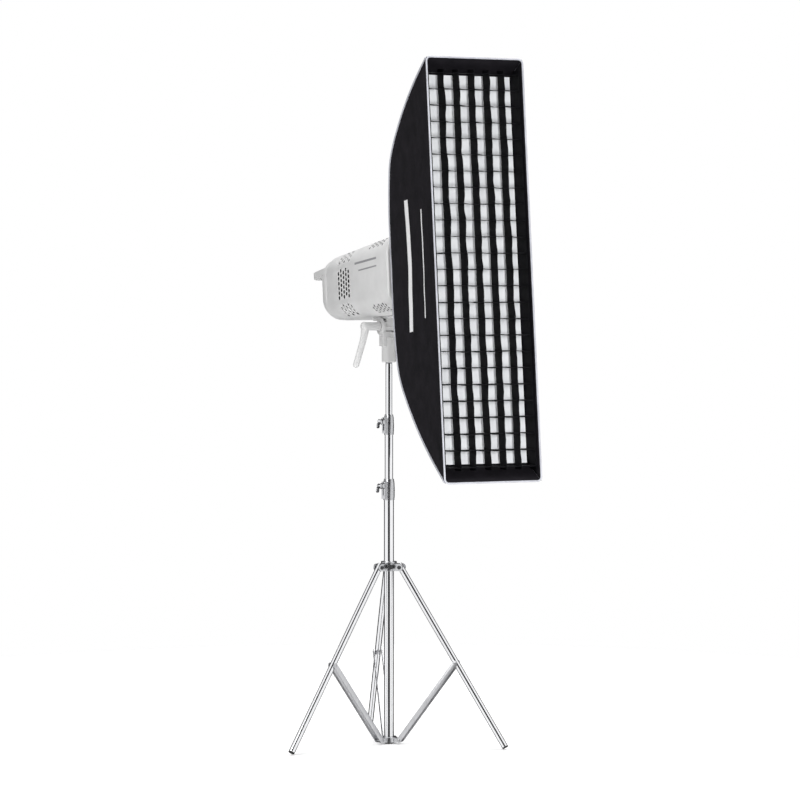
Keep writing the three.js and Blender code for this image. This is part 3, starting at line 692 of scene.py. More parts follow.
# %% [markdown]
# ## Legs, feet and braces
# A leg is the same tube, drawn upright in a space whose Z runs up the leg and whose Y is the hinge
# pin. The rubber foot is turned, with ribs round its stem. Each leg has two flat braces with a rivet
# head at each end, made from a disc stretched into a bar with round ends.

# %% Leg spaces


def upright(joint, towards):
    """A space at a hinge: Y along the pin, and Z along the line from a point to the pin, or to it."""
    pin = Vector(joint["axis"])
    origin = Vector(joint["pos_m"])
    rise = (origin - towards).normalized()
    side = pin.cross(rise).normalized()
    rise = side.cross(pin).normalized()
    frame_axes = Matrix((side, pin, rise)).transposed().to_4x4()
    return Matrix.Translation(origin) @ frame_axes


def centre(node):
    """The middle of a node's corners."""
    low, high = span(node)
    return (low + high) / 2


# %% Legs and feet
PIN_BORE = 3.4
FOOT_SOLE = 4
FOOT_RIBS, RIB_PITCH = 4, 4.5


def rubber_plug(radius, tip, top):
    """A plug pushed up a tube: a chamfered sole, and a ribbed stem that grips the wall."""
    stem = radius - TUBE_WALL - CLEARANCE
    shoulder = tip + FOOT_SOLE
    profile = [(0, tip), (radius - 1.4, tip), (radius, tip + 1), (radius, shoulder), (stem, shoulder)]
    for rib in range(FOOT_RIBS):
        start = shoulder + 3 + RIB_PITCH * rib
        profile += [(stem - 0.5, start), (stem - 0.5, start + 1.6), (stem, start + 2)]
    profile += [(stem, top - 1), (stem - 1, top), (0, top)]
    return soften(turned(profile, 48), 0.2, 1, 45)


for number in (1, 2, 3):
    leg, foot = f"leg_{number}", f"foot_{number}"
    space = upright(joints[leg + "_fold"], centre(foot))
    low, high = span(leg, space)
    tube = open_tube((high.y - low.y) / 2 / MM, low, high, 56)
    combine(tube, [rod("y", PIN_BORE, -20, 20, 0, 0, 24)], "DIFFERENCE")
    soften(tube, 0.2, 1, 60)
    fit(tube, leg + "_tube", leg, "stainless_tube", STAINLESS, space, [leg])
    low, high = span(foot, space)
    plug = rubber_plug((high.y - low.y) / 2 / MM, low.z / MM, high.z / MM)
    fit(plug, foot + "_plug", leg, "foot_rubber", RUBBER, space, [foot])
print("legs and feet done")

# %% Braces
BAR_INNER = 12
BAR_THICK = 2
BAR_WIDTH = 15


def brace(length, side):
    """A flat bar with its two domed rivet heads, on one side of the leg."""
    bar = round_ended_bar(length, BAR_WIDTH, BAR_THICK, 40)
    move(bar, (0, side * (BAR_INNER + BAR_THICK / 2), 0))
    soften(bar, 0.35, 2)
    shells = [bar]
    face = BAR_INNER + BAR_THICK
    for height in (0, length):
        head = turned([
            (0, face - 0.2), (4.4, face - 0.2), (4.4, face + 0.5), (3.4, face + 1.4), (0, face + 1.8)], 32)
        shells.append(smooth(move(head, (0, 0, height), -90 * side), 50))
    return gather(shells)


for number in (1, 2, 3):
    joint = joints[f"brace_{number}_fold"]
    origin = Vector(joint["pos_m"])
    far = origin - ((centre(f"brace_{number}a") + centre(f"brace_{number}b")) / 2 - origin)
    space = upright(joint, far)
    for letter in "ab":
        node = f"brace_{number}{letter}"
        low, high = span(node, space)
        side = 1 if high.y + low.y > 0 else -1
        piece = brace((high.z - low.z) / MM - BAR_WIDTH, side)
        fit(piece, node + "_bar", f"brace_{number}", "brace_bar", STRIP, space, [node])
print("braces done")

# %% [markdown]
# ## Castings of the stand
# The collar that the legs hang from, the spider that their braces meet in, and the two clamps are
# small die castings. Each is turned about the column, gets its cheeks or ears by joining shells,
# is bored out, and has its edges rounded as a casting's are.

# %% Spaces about the column


def about_column(azimuth_degrees):
    """A space whose X points out from the column at an azimuth."""
    return Matrix.Rotation(math.radians(azimuth_degrees), 4, "Z")


def azimuth(point):
    """Compass place of a point about the column, in degrees."""
    return math.degrees(math.atan2(point[1], point[0]))


LEG_AZIMUTHS = [azimuth(joints[f"leg_{number}_fold"]["pos_m"]) for number in (1, 2, 3)]
COLUMN_R = span("base_column")[1].x / MM
MID_R = span("mid_column")[1].x / MM
TOP_R = span("top_column")[1].x / MM

# %% Leg collar
leg_pin = Vector(joints["leg_1_fold"]["pos_m"])
PIN_OUT = math.hypot(leg_pin.x, leg_pin.y) / MM
PIN_UP = leg_pin.z / MM
SLIDING_BORE = COLUMN_R + 0.5
COLLAR_R, COLLAR_LIP_R = 21, 24
COLLAR_CHEEK_R, CHEEK_THICK = 11, 4
PIN_HALF = 14
collar = turned([
    (SLIDING_BORE, PIN_UP - 12), (COLLAR_R - 0.8, PIN_UP - 12), (COLLAR_R, PIN_UP - 11),
    (COLLAR_R, PIN_UP + 10.5), (COLLAR_LIP_R, PIN_UP + 12), (COLLAR_LIP_R, PIN_UP + 16),
    (COLLAR_LIP_R - 1, PIN_UP + 17), (SLIDING_BORE, PIN_UP + 17)], 72)
cheeks, pins = [], []
for leg_azimuth in LEG_AZIMUTHS:
    for start in (-PIN_HALF, PIN_HALF - CHEEK_THICK):
        end = start + CHEEK_THICK
        web = block(17, PIN_OUT, start, end, PIN_UP - COLLAR_CHEEK_R, PIN_UP + COLLAR_CHEEK_R)
        eye = rod("y", COLLAR_CHEEK_R, start, end, PIN_OUT, PIN_UP)
        cheeks += [move(shape, turn=leg_azimuth, about="Z") for shape in (web, eye)]
    for outward in (-1, 1):
        bolt = turned([
            (0, 13.8), (5.8, 13.8), (5.8, 15.4), (4.9, 17), (2.6, 17), (2.2, 16.2), (0, 16.2)], 32)
        move(bolt, (PIN_OUT, 0, PIN_UP), -90 * outward)
        pins.append(move(bolt, turn=leg_azimuth, about="Z"))
    pin = rod("y", 3, -PIN_HALF, PIN_HALF, PIN_OUT, PIN_UP, 24)
    pins.append(move(pin, turn=leg_azimuth, about="Z"))
bore = rod("z", SLIDING_BORE, PIN_UP - 40, PIN_UP + 40, sides=72)
lock_pos = joints["collar_lock_turn"]["pos_m"]
LOCK_UP = lock_pos[2] / MM
lock_bore = move(rod("x", 3.3, 5, 40, 0, LOCK_UP, 24), turn=azimuth(lock_pos), about="Z")
combine(collar, cheeks)
combine(collar, [bore, lock_bore], "DIFFERENCE")
collar.data.materials.append(CAST)
soften(collar, 0.6, 2)
pin_set = gather(pins)
pin_set.data.materials.append(BLACK_STEEL)
soften(pin_set, 0.2, 1)
fit(pin_set, "leg_hinge_bolts", "collar", "cast_alloy", BLACK_STEEL)
fit(collar, "leg_collar_casting", "collar", "cast_alloy", CAST, replaces=["leg_collar"])

# %% Collar lock screw
screw = turned([(0, 16.2), (2.9, 16.2), (2.9, 26), (7, 26), (7.5, 27), (7.5, 33), (6.6, 34), (0, 34)], 40)
move(screw, (0, 0, LOCK_UP), 90, "Y")
combine(screw, [ring_of_grooves("x", 12, 7.9, 1.1, 25, 36, 0, LOCK_UP, 12)], "DIFFERENCE")
fit(soften(screw, 0.25, 1), "collar_lock_knob", "collar_lock", "dark_plastic", DARK_NYLON,
    about_column(azimuth(lock_pos)), ["collar_lock_screw"])

# %% Lower spider
brace_pin = Vector(joints["brace_1_fold"]["pos_m"])
SPIDER_OUT = math.hypot(brace_pin.x, brace_pin.y) / MM
SPIDER_UP = brace_pin.z / MM
SPIDER_BORE, SPIDER_R = COLUMN_R + CLEARANCE, 24
LUG_HALF = BAR_INNER - 0.5
spider = turned([(SPIDER_BORE, 4.4), (SPIDER_R - 1, 4.4), (SPIDER_R, 5.4), (SPIDER_R, 20),
                 (SPIDER_R - 1, 21), (SPIDER_BORE, 21)], 72)
lugs = []
for leg_azimuth in LEG_AZIMUTHS:
    root = block(18, SPIDER_OUT, -LUG_HALF, LUG_HALF, 5, 17.6)
    nose = rod("y", 6, -LUG_HALF, LUG_HALF, SPIDER_OUT, SPIDER_UP)
    lugs += [move(shape, turn=leg_azimuth, about="Z") for shape in (root, nose)]
combine(spider, lugs)
combine(spider, [rod("z", SPIDER_BORE, -10, 60, sides=72)], "DIFFERENCE")
fit(soften(spider, 0.8, 2), "lower_spider_casting", "base", "cast_alloy", CAST, replaces=["lower_spider"])

# %% Tube clamps
EAR_SLOT = 1.4


def clamp_sleeve(bottom, step, top, outer, lower_bore, upper_bore):
    """A sleeve that steps down from one tube to the next, split and pulled together by two ears."""
    middle = (bottom + top) / 2
    sleeve = turned([
        (lower_bore, bottom), (outer - 0.8, bottom), (outer, bottom + 12), (outer + 0.3, middle),
        (outer - 0.6, top - 10), (outer - 2.6, top),
        (upper_bore, top), (upper_bore, step), (lower_bore, step)], 72)
    ears = block(outer - 2.2, outer + 12, -6.5, 6.5, bottom + 5, top - 8)
    lug = rod("y", 9, -8, 8, outer + 9, top - 20)
    combine(sleeve, [ears, lug])
    holes = [rod("z", lower_bore, bottom - 1, step, sides=72),
             rod("z", upper_bore, bottom - 1, top + 1, sides=72),
             block(upper_bore - 6, outer + 30, -EAR_SLOT, EAR_SLOT, step + 0.5, top + 1),
             rod("y", PIN_BORE, -9, 9, outer + 11, top - 20, 24)]
    combine(sleeve, holes, "DIFFERENCE")
    return soften(sleeve, 0.6, 2)


def wing(side):
    """One ear of a wing screw: a rounded blade that flares from the hub."""
    blade = rod("y", 6, -2, 2, 11.5 * side, 11, 40)
    web = block(*sorted((2 * side, 12 * side)), -2, 2, 1, 10)
    return combine(blade, [web])


def wing_screw(shaft_end, hub_start, hub_length):
    """A cast wing screw along -Y, with a threaded shank."""
    length = shaft_end - hub_start
    profile = [(0, 0), (3, 0)]
    for thread in range(int(length)):
        profile += [(3, thread + 0.2), (2.6, thread + 0.6)]
    shank = turned(profile + [(2.6, length), (0, length)], 32)
    move(shank, (0, hub_start, 0), -90)
    hub = turned([
        (0, 0), (5.6, 0), (6.5, 1.2), (6.5, hub_length - 2), (4.8, hub_length), (0, hub_length)], 40)
    move(hub, (0, hub_start, 0), 90)
    combine(hub, [move(wing(side), (0, hub_start - 9, 0), 180) for side in (-1, 1)])
    soften(hub, 0.7, 2)
    return gather([hub, shank])


CLAMP_GRIP = 15
CLAMPS = (("lower", "base", 17.3, COLUMN_R, MID_R), ("upper", "mid", 15, MID_R, TOP_R))
for level, body, outer, lower_tube, upper_tube in CLAMPS:
    screw_pos = joints[f"{level}_screw_turn"]["pos_m"]
    space = about_column(azimuth(screw_pos))
    low, high = span(f"{level}_clamp", space)
    bottom, top = low.z / MM, high.z / MM
    sleeve = clamp_sleeve(
        bottom, bottom + CLAMP_GRIP, top, outer, lower_tube + CLEARANCE, upper_tube + CLEARANCE)
    fit(sleeve, f"{level}_clamp_casting", body, "cast_alloy", CAST, space, [f"{level}_clamp"])
    at_screw = Matrix.Translation(screw_pos) @ space @ Matrix.Rotation(math.radians(25), 4, "Y")
    fit(wing_screw(7.6, -8.4, 12), f"{level}_wing_screw_cast", f"{level}_screw", "black_metal", CAST,
        at_screw, [f"{level}_wing_screw"])
print("castings done")

# %% [markdown]
# ## Tilting bracket
# The receiver that drops over the spigot and the long locking lever are white moulded parts with
# generous radii. Their shells are overlapped and then melted into one skin with a voxel remesh,
# which leaves fillets where they meet, as the mould does. The bolt and its nut are plain metal.

# %% Receiver
TILT = Matrix.Translation(joints["head_tilt"]["pos_m"])
low, high = span("stand_receiver", TILT)
SOCKET_BOTTOM = low.z / MM
BODY_R = 21.5
CHEEK_IN, CHEEK_OUT, CHEEK_R = 15.4, 25, 20
BOLT_BORE = 4.5
socket = turned([
    (0, SOCKET_BOTTOM), (BODY_R - 2, SOCKET_BOTTOM), (BODY_R, SOCKET_BOTTOM + 2),
    (BODY_R, -34), (0, -34)], 72)
saddle = block(-CHEEK_OUT, CHEEK_OUT, -16, 16, -60, -18.4)
bracket = [socket, saddle]
for side in (-1, 1):
    near, far = sorted((side * CHEEK_IN, side * CHEEK_OUT))
    bracket += [block(near, far, -17, 17, -60, 0), rod("x", CHEEK_R, near, far, 0, 0, 72)]
bracket.append(rod("x", 27, -30, -CHEEK_OUT + 0.5, 0, 0, 72))
receiver = combine(bracket[0], bracket[1:])
melt(receiver, 0.9, 8)
bores = [rod("z", 8.4, SOCKET_BOTTOM - 1, -55, sides=48), rod("x", BOLT_BORE, -40, 40, 0, 0, 40),
         rod("x", 4.4, 5, 40, 0, SOCKET_BOTTOM + 26.6, 32)]
combine(receiver, bores, "DIFFERENCE")
smooth(receiver, 45)
fit(receiver, "receiver_moulding", "receiver", "white_shell", WHITE_ABS, TILT, ["stand_receiver"])

# %% Receiver knob
knob_low, knob_high = span("receiver_knob", TILT)
KNOB_Z = (knob_low.z + knob_high.z) / 2 / MM
stem = turned([(0, 8.8), (4, 8.8), (4, 24), (8.4, 24), (9, 25), (9, 34), (0, 34)], 40)
move(stem, (0, 0, KNOB_Z), 90, "Y")
tee = combine(block(30, 44, -3.2, 3.2, KNOB_Z - 13, KNOB_Z + 13),
              [rod("x", 4.4, 30, 44, 0, KNOB_Z + offset, 32) for offset in (-12.6, 12.6)])
combine(stem, [tee])
fit(soften(stem, 0.8, 3), "receiver_tee_knob", "receiver_lock", "dark_plastic", DARK_NYLON, TILT,
    ["receiver_knob"])

# %% Tilt bolt
bolt = rod("x", 4.1, -29.4, 31, sides=40)
nut = rod("x", 9, 25.4, 31, sides=6)
combine(bolt, [nut])
fit(soften(bolt, 0.4, 2), "tilt_hex_bolt", "receiver", "cast_alloy", CAST, TILT, ["tilt_bolt"])

# %% Swept rods


def swept(points, radius, sizes=None, closed=False, resolution=4):
    """A round rod along points: straight from one to the next, or a smooth curve if sizes are given."""
    curve = bpy.data.curves.new("sweep", "CURVE")
    curve.dimensions = "3D"
    curve.bevel_depth = radius
    curve.bevel_resolution = resolution
    curve.use_fill_caps = not closed
    curve.resolution_u = 16
    spline = curve.splines.new("NURBS" if sizes else "POLY")
    spline.points.add(len(points) - 1)
    for point, place, size in zip(spline.points, points, sizes or [1] * len(points)):
        point.co = (*place, 1)
        point.radius = size
    if sizes:
        spline.order_u = 3
        spline.use_endpoint_u = True
    spline.use_cyclic_u = closed
    piece = bpy.data.objects.new("sweep", curve)
    bpy.context.scene.collection.objects.link(piece)
    pick(piece)
    bpy.ops.object.convert(target="MESH")
    return smooth(edit(bpy.context.object, close_and_face_out), 60)


# %% Tilt lever
HUB_START, HUB_END, HUB_R = 30.4, 88, 14
LEVER_PATH = [(-77, 0, 0), (-78, 6, -28), (-86, 16, -70), (-96, 27, -116)]
LEVER_RADII = (13, 10.2, 9.6, 9.4)
hub = turned([
    (0, HUB_START), (HUB_R - 1, HUB_START), (HUB_R, HUB_START + 1), (HUB_R - 1.5, HUB_START + 14),
    (HUB_R - 1.5, HUB_END - 16), (HUB_R, HUB_END - 4), (HUB_R - 2.5, HUB_END), (0, HUB_END)], 64)
move(hub, turn=-90, about="Y")
arm = swept(LEVER_PATH, 1.0, sizes=LEVER_RADII, resolution=10)
tip = ball(9.2, LEVER_PATH[-1], 32, 20)
boss = block(-HUB_END - 3.4, -HUB_END + 1, -6, 6, -6, 6)
lever = gather([hub, arm, tip, boss])
melt(lever, 1.0, 6)
combine(lever, [block(-HUB_END - 6, -HUB_END - 1.6, -3.4, 3.4, -3.4, 3.4)], "DIFFERENCE")
smooth(lever, 45)
fit(lever, "tilt_lever_moulding", "lever", "white_shell", WHITE_ABS, TILT, ["tilt_lever"])
print("bracket done", len(receiver.data.polygons), len(lever.data.polygons), "faces")

# %% [markdown]
# ## Lamp head shell
# The housing is one long tube of rounded-square section that narrows a little to the rear. A cube
# with its four long edges bevelled gives the section, and its rear end is scaled down. Oval vents
# are cut in staggered groups, bent round the corners, so each cutter stands square to the skin.

# %% Rounded block
CORNER_STEPS = 12


def section_block(y0, y1, width, height, corner, middle):
    """A rounded-rectangle block along Y."""
    piece = block(-width / 2, width / 2, y0, y1, middle - height / 2, middle + height / 2)
    corners = piece.data.vertices

    def runs_along(edge):
        start, end = (corners[i].co for i in edge.vertices)
        return abs(start.y - end.y) > abs(y1 - y0) / 2

    choose(piece, edges=runs_along)
    bpy.ops.mesh.bevel(offset=corner, segments=CORNER_STEPS, affect="EDGES")
    leave_edit()
    return edit(piece, close_and_face_out)


def scale_end(piece, y, width_factor, height_factor, middle):
    """Scale the end of a block that lies at one y."""
    for vertex in piece.data.vertices:
        if abs(vertex.co.y - y) < 0.01:
            vertex.co.x *= width_factor
            vertex.co.z = middle + (vertex.co.z - middle) * height_factor


def at_end(piece, y):
    """A test for the faces of a piece that lie flat at one y."""
    return lambda face: all(abs(piece.data.vertices[i].co.y - y) < 0.01 for i in face.vertices)


def grow_end(piece, stations, middle):
    """Extrude the end face at the first station's y through more (y, width, height) stations."""
    y, width, height = stations[0]
    for next_y, next_width, next_height in stations[1:]:
        choose(piece, faces=at_end(piece, y))
        bpy.ops.mesh.extrude_region_move(TRANSFORM_OT_translate={"value": (0, next_y - y, 0)})
        leave_edit()
        scale_end(piece, next_y, next_width / width, next_height / height, middle)
        y, width, height = next_y, next_width, next_height
    return piece


def open_end(piece, y):
    """Delete the end face at one y."""
    choose(piece, faces=at_end(piece, y))
    bpy.ops.mesh.delete(type="FACE")
    leave_edit()
    return piece


# %% Housing tube
low, high = span("main_housing", HEAD)
BODY_FRONT, BODY_REAR = low.y / MM, high.y / MM
BODY_MIDDLE = (low.z + high.z) / 2 / MM
FRONT_W, FRONT_H, FRONT_CORNER = 2 * high.x / MM, (high.z - low.z) / MM, 64
REAR_W, REAR_H, REAR_CORNER = 224, 198, 62
WALL = 3
SHADOW_GAP = 1.5
housing = section_block(BODY_FRONT, BODY_REAR, FRONT_W, FRONT_H, FRONT_CORNER, BODY_MIDDLE)
scale_end(housing, BODY_REAR, REAR_W / FRONT_W, REAR_H / FRONT_H, BODY_MIDDLE)
open_end(housing, BODY_FRONT)
open_end(housing, BODY_REAR)
modify(housing, "SOLIDIFY", thickness=WALL, offset=-1, material_offset=1)
BODY_LENGTH = BODY_REAR - BODY_FRONT
PRINTED_ABS = print_bars("white_moulded_abs_printed", WHITE_ABS, (
    (BODY_REAR - 0.67 * BODY_LENGTH, 0.18 * BODY_LENGTH, BODY_MIDDLE + 50, 3.2),
    (BODY_REAR - 0.70 * BODY_LENGTH, 0.15 * BODY_LENGTH, BODY_MIDDLE + 27, 2.2)), "#8f8f92")
housing.data.materials.append(PRINTED_ABS)
# the second finish paints the inner wall near black, as painted shade for the vents to show
housing.data.materials.append(INNER_WALL_SHADE)
soften(housing, 1.0, 3, 60)

# %% Vents


def section_at(y):
    """Width, height and corner radius of the housing at a place along it."""
    t = (y - BODY_FRONT) / BODY_LENGTH
    return (FRONT_W + (REAR_W - FRONT_W) * t, FRONT_H + (REAR_H - FRONT_H) * t,
            FRONT_CORNER + (REAR_CORNER - FRONT_CORNER) * t)


def skin_point(y, arc):
    """A point of the housing's -X side and the way out of it, at a distance round from mid-height."""
    width, height, corner = section_at(y)
    flat = height / 2 - corner
    turn = max(abs(arc) - flat, 0) / corner
    up = math.copysign(1, arc)
    out = Vector((-math.cos(turn), 0, up * math.sin(turn)))
    x = -(width / 2 - corner) - corner * math.cos(turn)
    z = BODY_MIDDLE + up * (min(abs(arc), flat) + corner * math.sin(turn))
    return Vector((x, y, z)), out


def depth_below_skin(point):
    """How far a point of the wall lies under the housing's outer skin."""
    width, height, corner = section_at(point.y)
    across = max(abs(point.x) - (width / 2 - corner), 0)
    up = max(abs(point.z - BODY_MIDDLE) - (height / 2 - corner), 0)
    return corner - math.hypot(across, up)


VENT_LEAN = math.radians(14)


def vent_group(y, arc, columns, rows, pitch, oval):
    """Oval cutters in staggered columns, square to the skin of the -X side."""
    cutters = []
    for column in range(columns):
        for row in range(rows):
            stagger = 0.25 if column % 2 else -0.25
            place, out = skin_point(
                y + pitch[0] * (column - (columns - 1) / 2),
                arc + pitch[1] * (row - (rows - 1) / 2 + stagger))
            bpy.ops.object.select_all(action="DESELECT")
            bpy.ops.mesh.primitive_cylinder_add(vertices=14, radius=1, depth=9)
            cutter = bpy.context.object
            cutter.data.transform(Matrix.Diagonal((oval[1] / 2, oval[0] / 2, 1, 1)))
            cutter.data.transform(Matrix.Rotation(VENT_LEAN, 4, "Z"))
            facing = out.to_track_quat("Z", "Y").to_matrix().to_4x4()
            cutter.data.transform(Matrix.Translation(place) @ facing)
            cutters.append(cutter)
    return cutters


SIDE_VENTS = (
    (67, 0, 5, 6, (18.8, 14.6), (12, 11)),
    (67, 84, 5, 3, (18.8, 14.6), (11.6, 11)),
    (67, -84, 5, 3, (18.8, 14.6), (11.6, 11)),
    (-160, -104, 7, 3, (16, 11.5), (8.6, 7)),
    (-160, 104, 7, 3, (16, 11.5), (8.6, 7)),
)
vents = [cutter for group in SIDE_VENTS for cutter in vent_group(*group)]
left_vents = gather(vents)
right_vents = left_vents.copy()
right_vents.data = left_vents.data.copy()
bpy.context.scene.collection.objects.link(right_vents)
right_vents.data.transform(Matrix.Scale(-1, 4, (1, 0, 0)))
edit(right_vents, close_and_face_out)
edit(left_vents, close_and_face_out)
combine(housing, [left_vents, right_vents], "DIFFERENCE")
# faces deep in the wall, its inside and the deeper part of each vent's sides, take the painted shade
for polygon in housing.data.polygons:
    inboard = BODY_FRONT + 6 < polygon.center.y < BODY_REAR - 6
    if inboard and depth_below_skin(polygon.center) > 0.8:
        polygon.material_index = 1
smooth(housing, 35)
fit(housing, "main_housing_shell", "head", "white_shell", WHITE_ABS, HEAD, ["main_housing"])
print("housing with", 2 * len(vents), "vents and", len(housing.data.polygons), "faces")

# %% Front bezel
BEZEL_FRONT = span("front_bezel", HEAD)[0].y / MM
LIGHT = AXIS / MM
LATCH_X = 100
bezel = section_block(BODY_FRONT - 5, BODY_FRONT - SHADOW_GAP, FRONT_W, FRONT_H, FRONT_CORNER, BODY_MIDDLE)
grow_end(bezel, [
    (BODY_FRONT - 5, FRONT_W, FRONT_H), (BEZEL_FRONT + 5, FRONT_W - 2, FRONT_H - 2),
    (BEZEL_FRONT + 2, FRONT_W - 6, FRONT_H - 6), (BEZEL_FRONT, FRONT_W - 13, FRONT_H - 13)], BODY_MIDDLE)
edit(bezel, close_and_face_out)
openings = [rod("y", 66, BEZEL_FRONT - 5, BODY_FRONT + 5, 0, LIGHT, 96),
            block(LATCH_X - 6, LATCH_X + 6, BEZEL_FRONT - 1, BODY_FRONT + 1, LIGHT - 12, LIGHT + 12)]
screw_places = [(side * LATCH_X, LIGHT + 47 * up) for side in (-1, 1) for up in (-1, 1)]
openings += [rod("y", 5, BEZEL_FRONT - 1, BEZEL_FRONT + 3, x, z, 32) for x, z in screw_places]
combine(bezel, openings, "DIFFERENCE")
fit(soften(bezel, 0.8, 3, 35), "front_bezel_moulding", "head", "white_shell", WHITE_ABS, HEAD,
    ["front_bezel"])

screws = []
for x, z in screw_places:
    cap = turned([(0, 0), (4.6, 0), (4.6, 2.0), (3.9, 2.7), (2.2, 2.7), (1.8, 1.2), (0, 1.2)], 28)
    screws.append(move(cap, (x, BEZEL_FRONT + 2.9, z), 90))
fit(soften(gather(screws), 0.15, 1), "bezel_screws", "head", "black_metal", BLACK_STEEL, HEAD)

# %% Bayonet ring, latch and speedring


def about_light(profile):
    """A turned ring about the light's axis, from (radius, distance forward)."""
    return move(turned(profile, 96), (0, 0, LIGHT), 90)


RING_OUT, RING_IN = 82, 69
RING_FRONT = -ring_low.y / MM
ring = about_light([(RING_IN, -BEZEL_FRONT + 0.3), (RING_OUT, -BEZEL_FRONT + 0.3), (RING_OUT, RING_FRONT),
                    (RING_IN + 3, RING_FRONT), (RING_IN, RING_FRONT - 2)])
fit(soften(ring, 0.5, 2), "bayonet_ring", "head", "black_metal", BLACK_STEEL, HEAD, ["mount_ring"])
LATCH_SIDES = (LATCH_X - 5.6, LATCH_X + 5.6)
latch = combine(block(*LATCH_SIDES, -258, -244, LIGHT - 11.6, LIGHT + 4),
                [block(*LATCH_SIDES, -266, -257, LIGHT - 4, LIGHT + 3)])
fit(soften(latch, 0.9, 2), "mount_latch_slide", "latch", "dark_plastic", DARK_NYLON, HEAD, ["mount_latch"])

BACK_PLANE = -(HEAD.inverted() @ Vector(joints["softbox_turn"]["pos_m"])).y / MM
DISH = [(63, -9.6), (94, -9.6), (97, -7.6), (97, -3), (94, -1), (88, -0.2), (72, 0.3), (72, 15),
        (84, 15), (84, 28), (63, 28)]
dish = about_light([(radius, BACK_PLANE + forward) for radius, forward in DISH])
fit(soften(dish, 0.7, 2), "speedring_dish", "softbox", "black_metal", BLACK_STEEL, HEAD, ["speedring"])
print("front done")

# %% Rear cover
DIAL_X, DIAL_Z = 58, 152
BUTTON_XS, BUTTON_Z = (-36, -10), 126
COVER = [(236, 219, 190), (250, 210, 180), (260, 200, 168), (267, 188, 155), (273, 172, 138), (276, 158, 124),
         (277, 150, 116)]
cover = section_block(BODY_REAR + SHADOW_GAP, COVER[0][0], COVER[0][1], COVER[0][2], REAR_CORNER, BODY_MIDDLE)
scale_end(cover, BODY_REAR + SHADOW_GAP, REAR_W / COVER[0][1], REAR_H / COVER[0][2], BODY_MIDDLE)
grow_end(cover, COVER, BODY_MIDDLE)
open_end(cover, BODY_REAR + SHADOW_GAP)
edit(cover, close_and_face_out)
modify(cover, "SOLIDIFY", thickness=WALL, offset=-1, use_even_offset=True, material_offset=1)
wells = [block(-46, 30, 270, 280, 150, 184), rod("y", 12.4, 265, 280, DIAL_X, DIAL_Z, 48),
         *(rod("y", 6.4, 265, 280, x, BUTTON_Z, 32) for x in BUTTON_XS),
         block(-46, -18, 265, 280, 84, 104), block(18, 60, 255, 280, 80, 108)]
combine(cover, wells, "DIFFERENCE")
slots = [block(-70, 70, 255, 280, 200 + 5 * k, 202 + 5 * k) for k in range(2)]
combine(cover, slots, "DIFFERENCE")
cover.data.materials.append(WHITE_ABS)
# the cover's inner wall takes the same painted shade, seen through the gap at the housing
cover.data.materials.append(INNER_WALL_SHADE)
soften(cover, 0.6, 2, 40)
fit(cover, "rear_cover_moulding", "head", "white_shell", WHITE_ABS, HEAD, ["rear_cover"])

# %% Carry handle
HANDLE_RISE = math.radians(-4)
OUTER_EDGE = [(96, 212), (96, 330), (93, 344), (84, 354), (70, 358)]
INNER_EDGE = [(84, 212), (84, 326), (82, 335), (76, 341), (66, 344)]
loop = [(-x, y, 0) for x, y in OUTER_EDGE] + [(x, y, 0) for x, y in reversed(OUTER_EDGE)]
loop += [(x, y, 0) for x, y in INNER_EDGE] + [(-x, y, 0) for x, y in reversed(INNER_EDGE)]
handle = drawn(loop)
edit(handle, bpy.ops.mesh.edge_face_add)
modify(handle, "SOLIDIFY", thickness=22, offset=-1)
edit(handle, close_and_face_out)
low, high = span("carry_handle", HEAD)
handle.data.transform(Matrix.Rotation(HANDLE_RISE, 4, "X"))
handle_low = min(vertex.co.z for vertex in handle.data.vertices)
move(handle, (0, 0, low.z / MM - handle_low))
soften(handle, 2.4, 4, 30)
handle.data.materials.append(WHITE_ABS)
handle.data.materials.append(DARK_NYLON)
up = Vector((0, -math.sin(HANDLE_RISE), math.cos(HANDLE_RISE)))
for polygon in handle.data.polygons:
    if polygon.normal.dot(up) > 0.9 and polygon.center.y > 262:
        polygon.material_index = 1
fit(handle, "carry_handle_bar", "head", "white_shell", WHITE_ABS, HEAD, ["carry_handle"])
print("rear done")

# %% [markdown]
# ## The softbox shape
# A strip softbox is a sewn skin over four bent spring rods. One long wrap runs from the bottom lip
# over the speedring to the top lip; two side panels close it. Its outline from the side is a smooth
# curve through a few stations, each a depth in front of the speedring and a height from the axis.

# %% Outline of the wrap
BOX_DEPTH = 390
BACK_HALF_WIDTH = 102
BACK_STATIONS = [
    (5, 0), (13, 125), (34, 235), (53, 300), (87, 350), (155, 420), (222, 480), (300, 540), (390, 600)]
wrap_low, wrap_high = span("wrap_panel", HEAD)
FRONT_Y = wrap_low.y / MM
HALF_WIDE = wrap_high.x / MM
HALF_TALL = (wrap_high.z - wrap_low.z) / 2 / MM
DROOP = LIGHT - (wrap_high.z + wrap_low.z) / 2 / MM
print("front", round(2 * HALF_WIDE), "by", round(2 * HALF_TALL), "mm, droop", round(DROOP), "mm")


def smooth_through(stations, t):
    """A point of the curve that passes smoothly through evenly spaced stations."""
    last = len(stations) - 1
    place = t * last
    i = min(int(place), last - 1)
    f = place - i
    a, b, c, d = (stations[min(max(k, 0), last)] for k in (i - 1, i, i + 1, i + 2))
    return tuple(
        0.5 * (2 * q + (r - p) * f + (2 * p - 5 * q + 4 * r - s) * f ** 2
               + (3 * q - p - 3 * r + s) * f ** 3)
        for p, q, r, s in zip(a, b, c, d))


def outline_at(u):
    """Depth and height of the wrap at u, from -1 at its bottom lip to 1 at its top lip."""
    depth, height = smooth_through(BACK_STATIONS, abs(u))
    return depth, math.copysign(height, u)


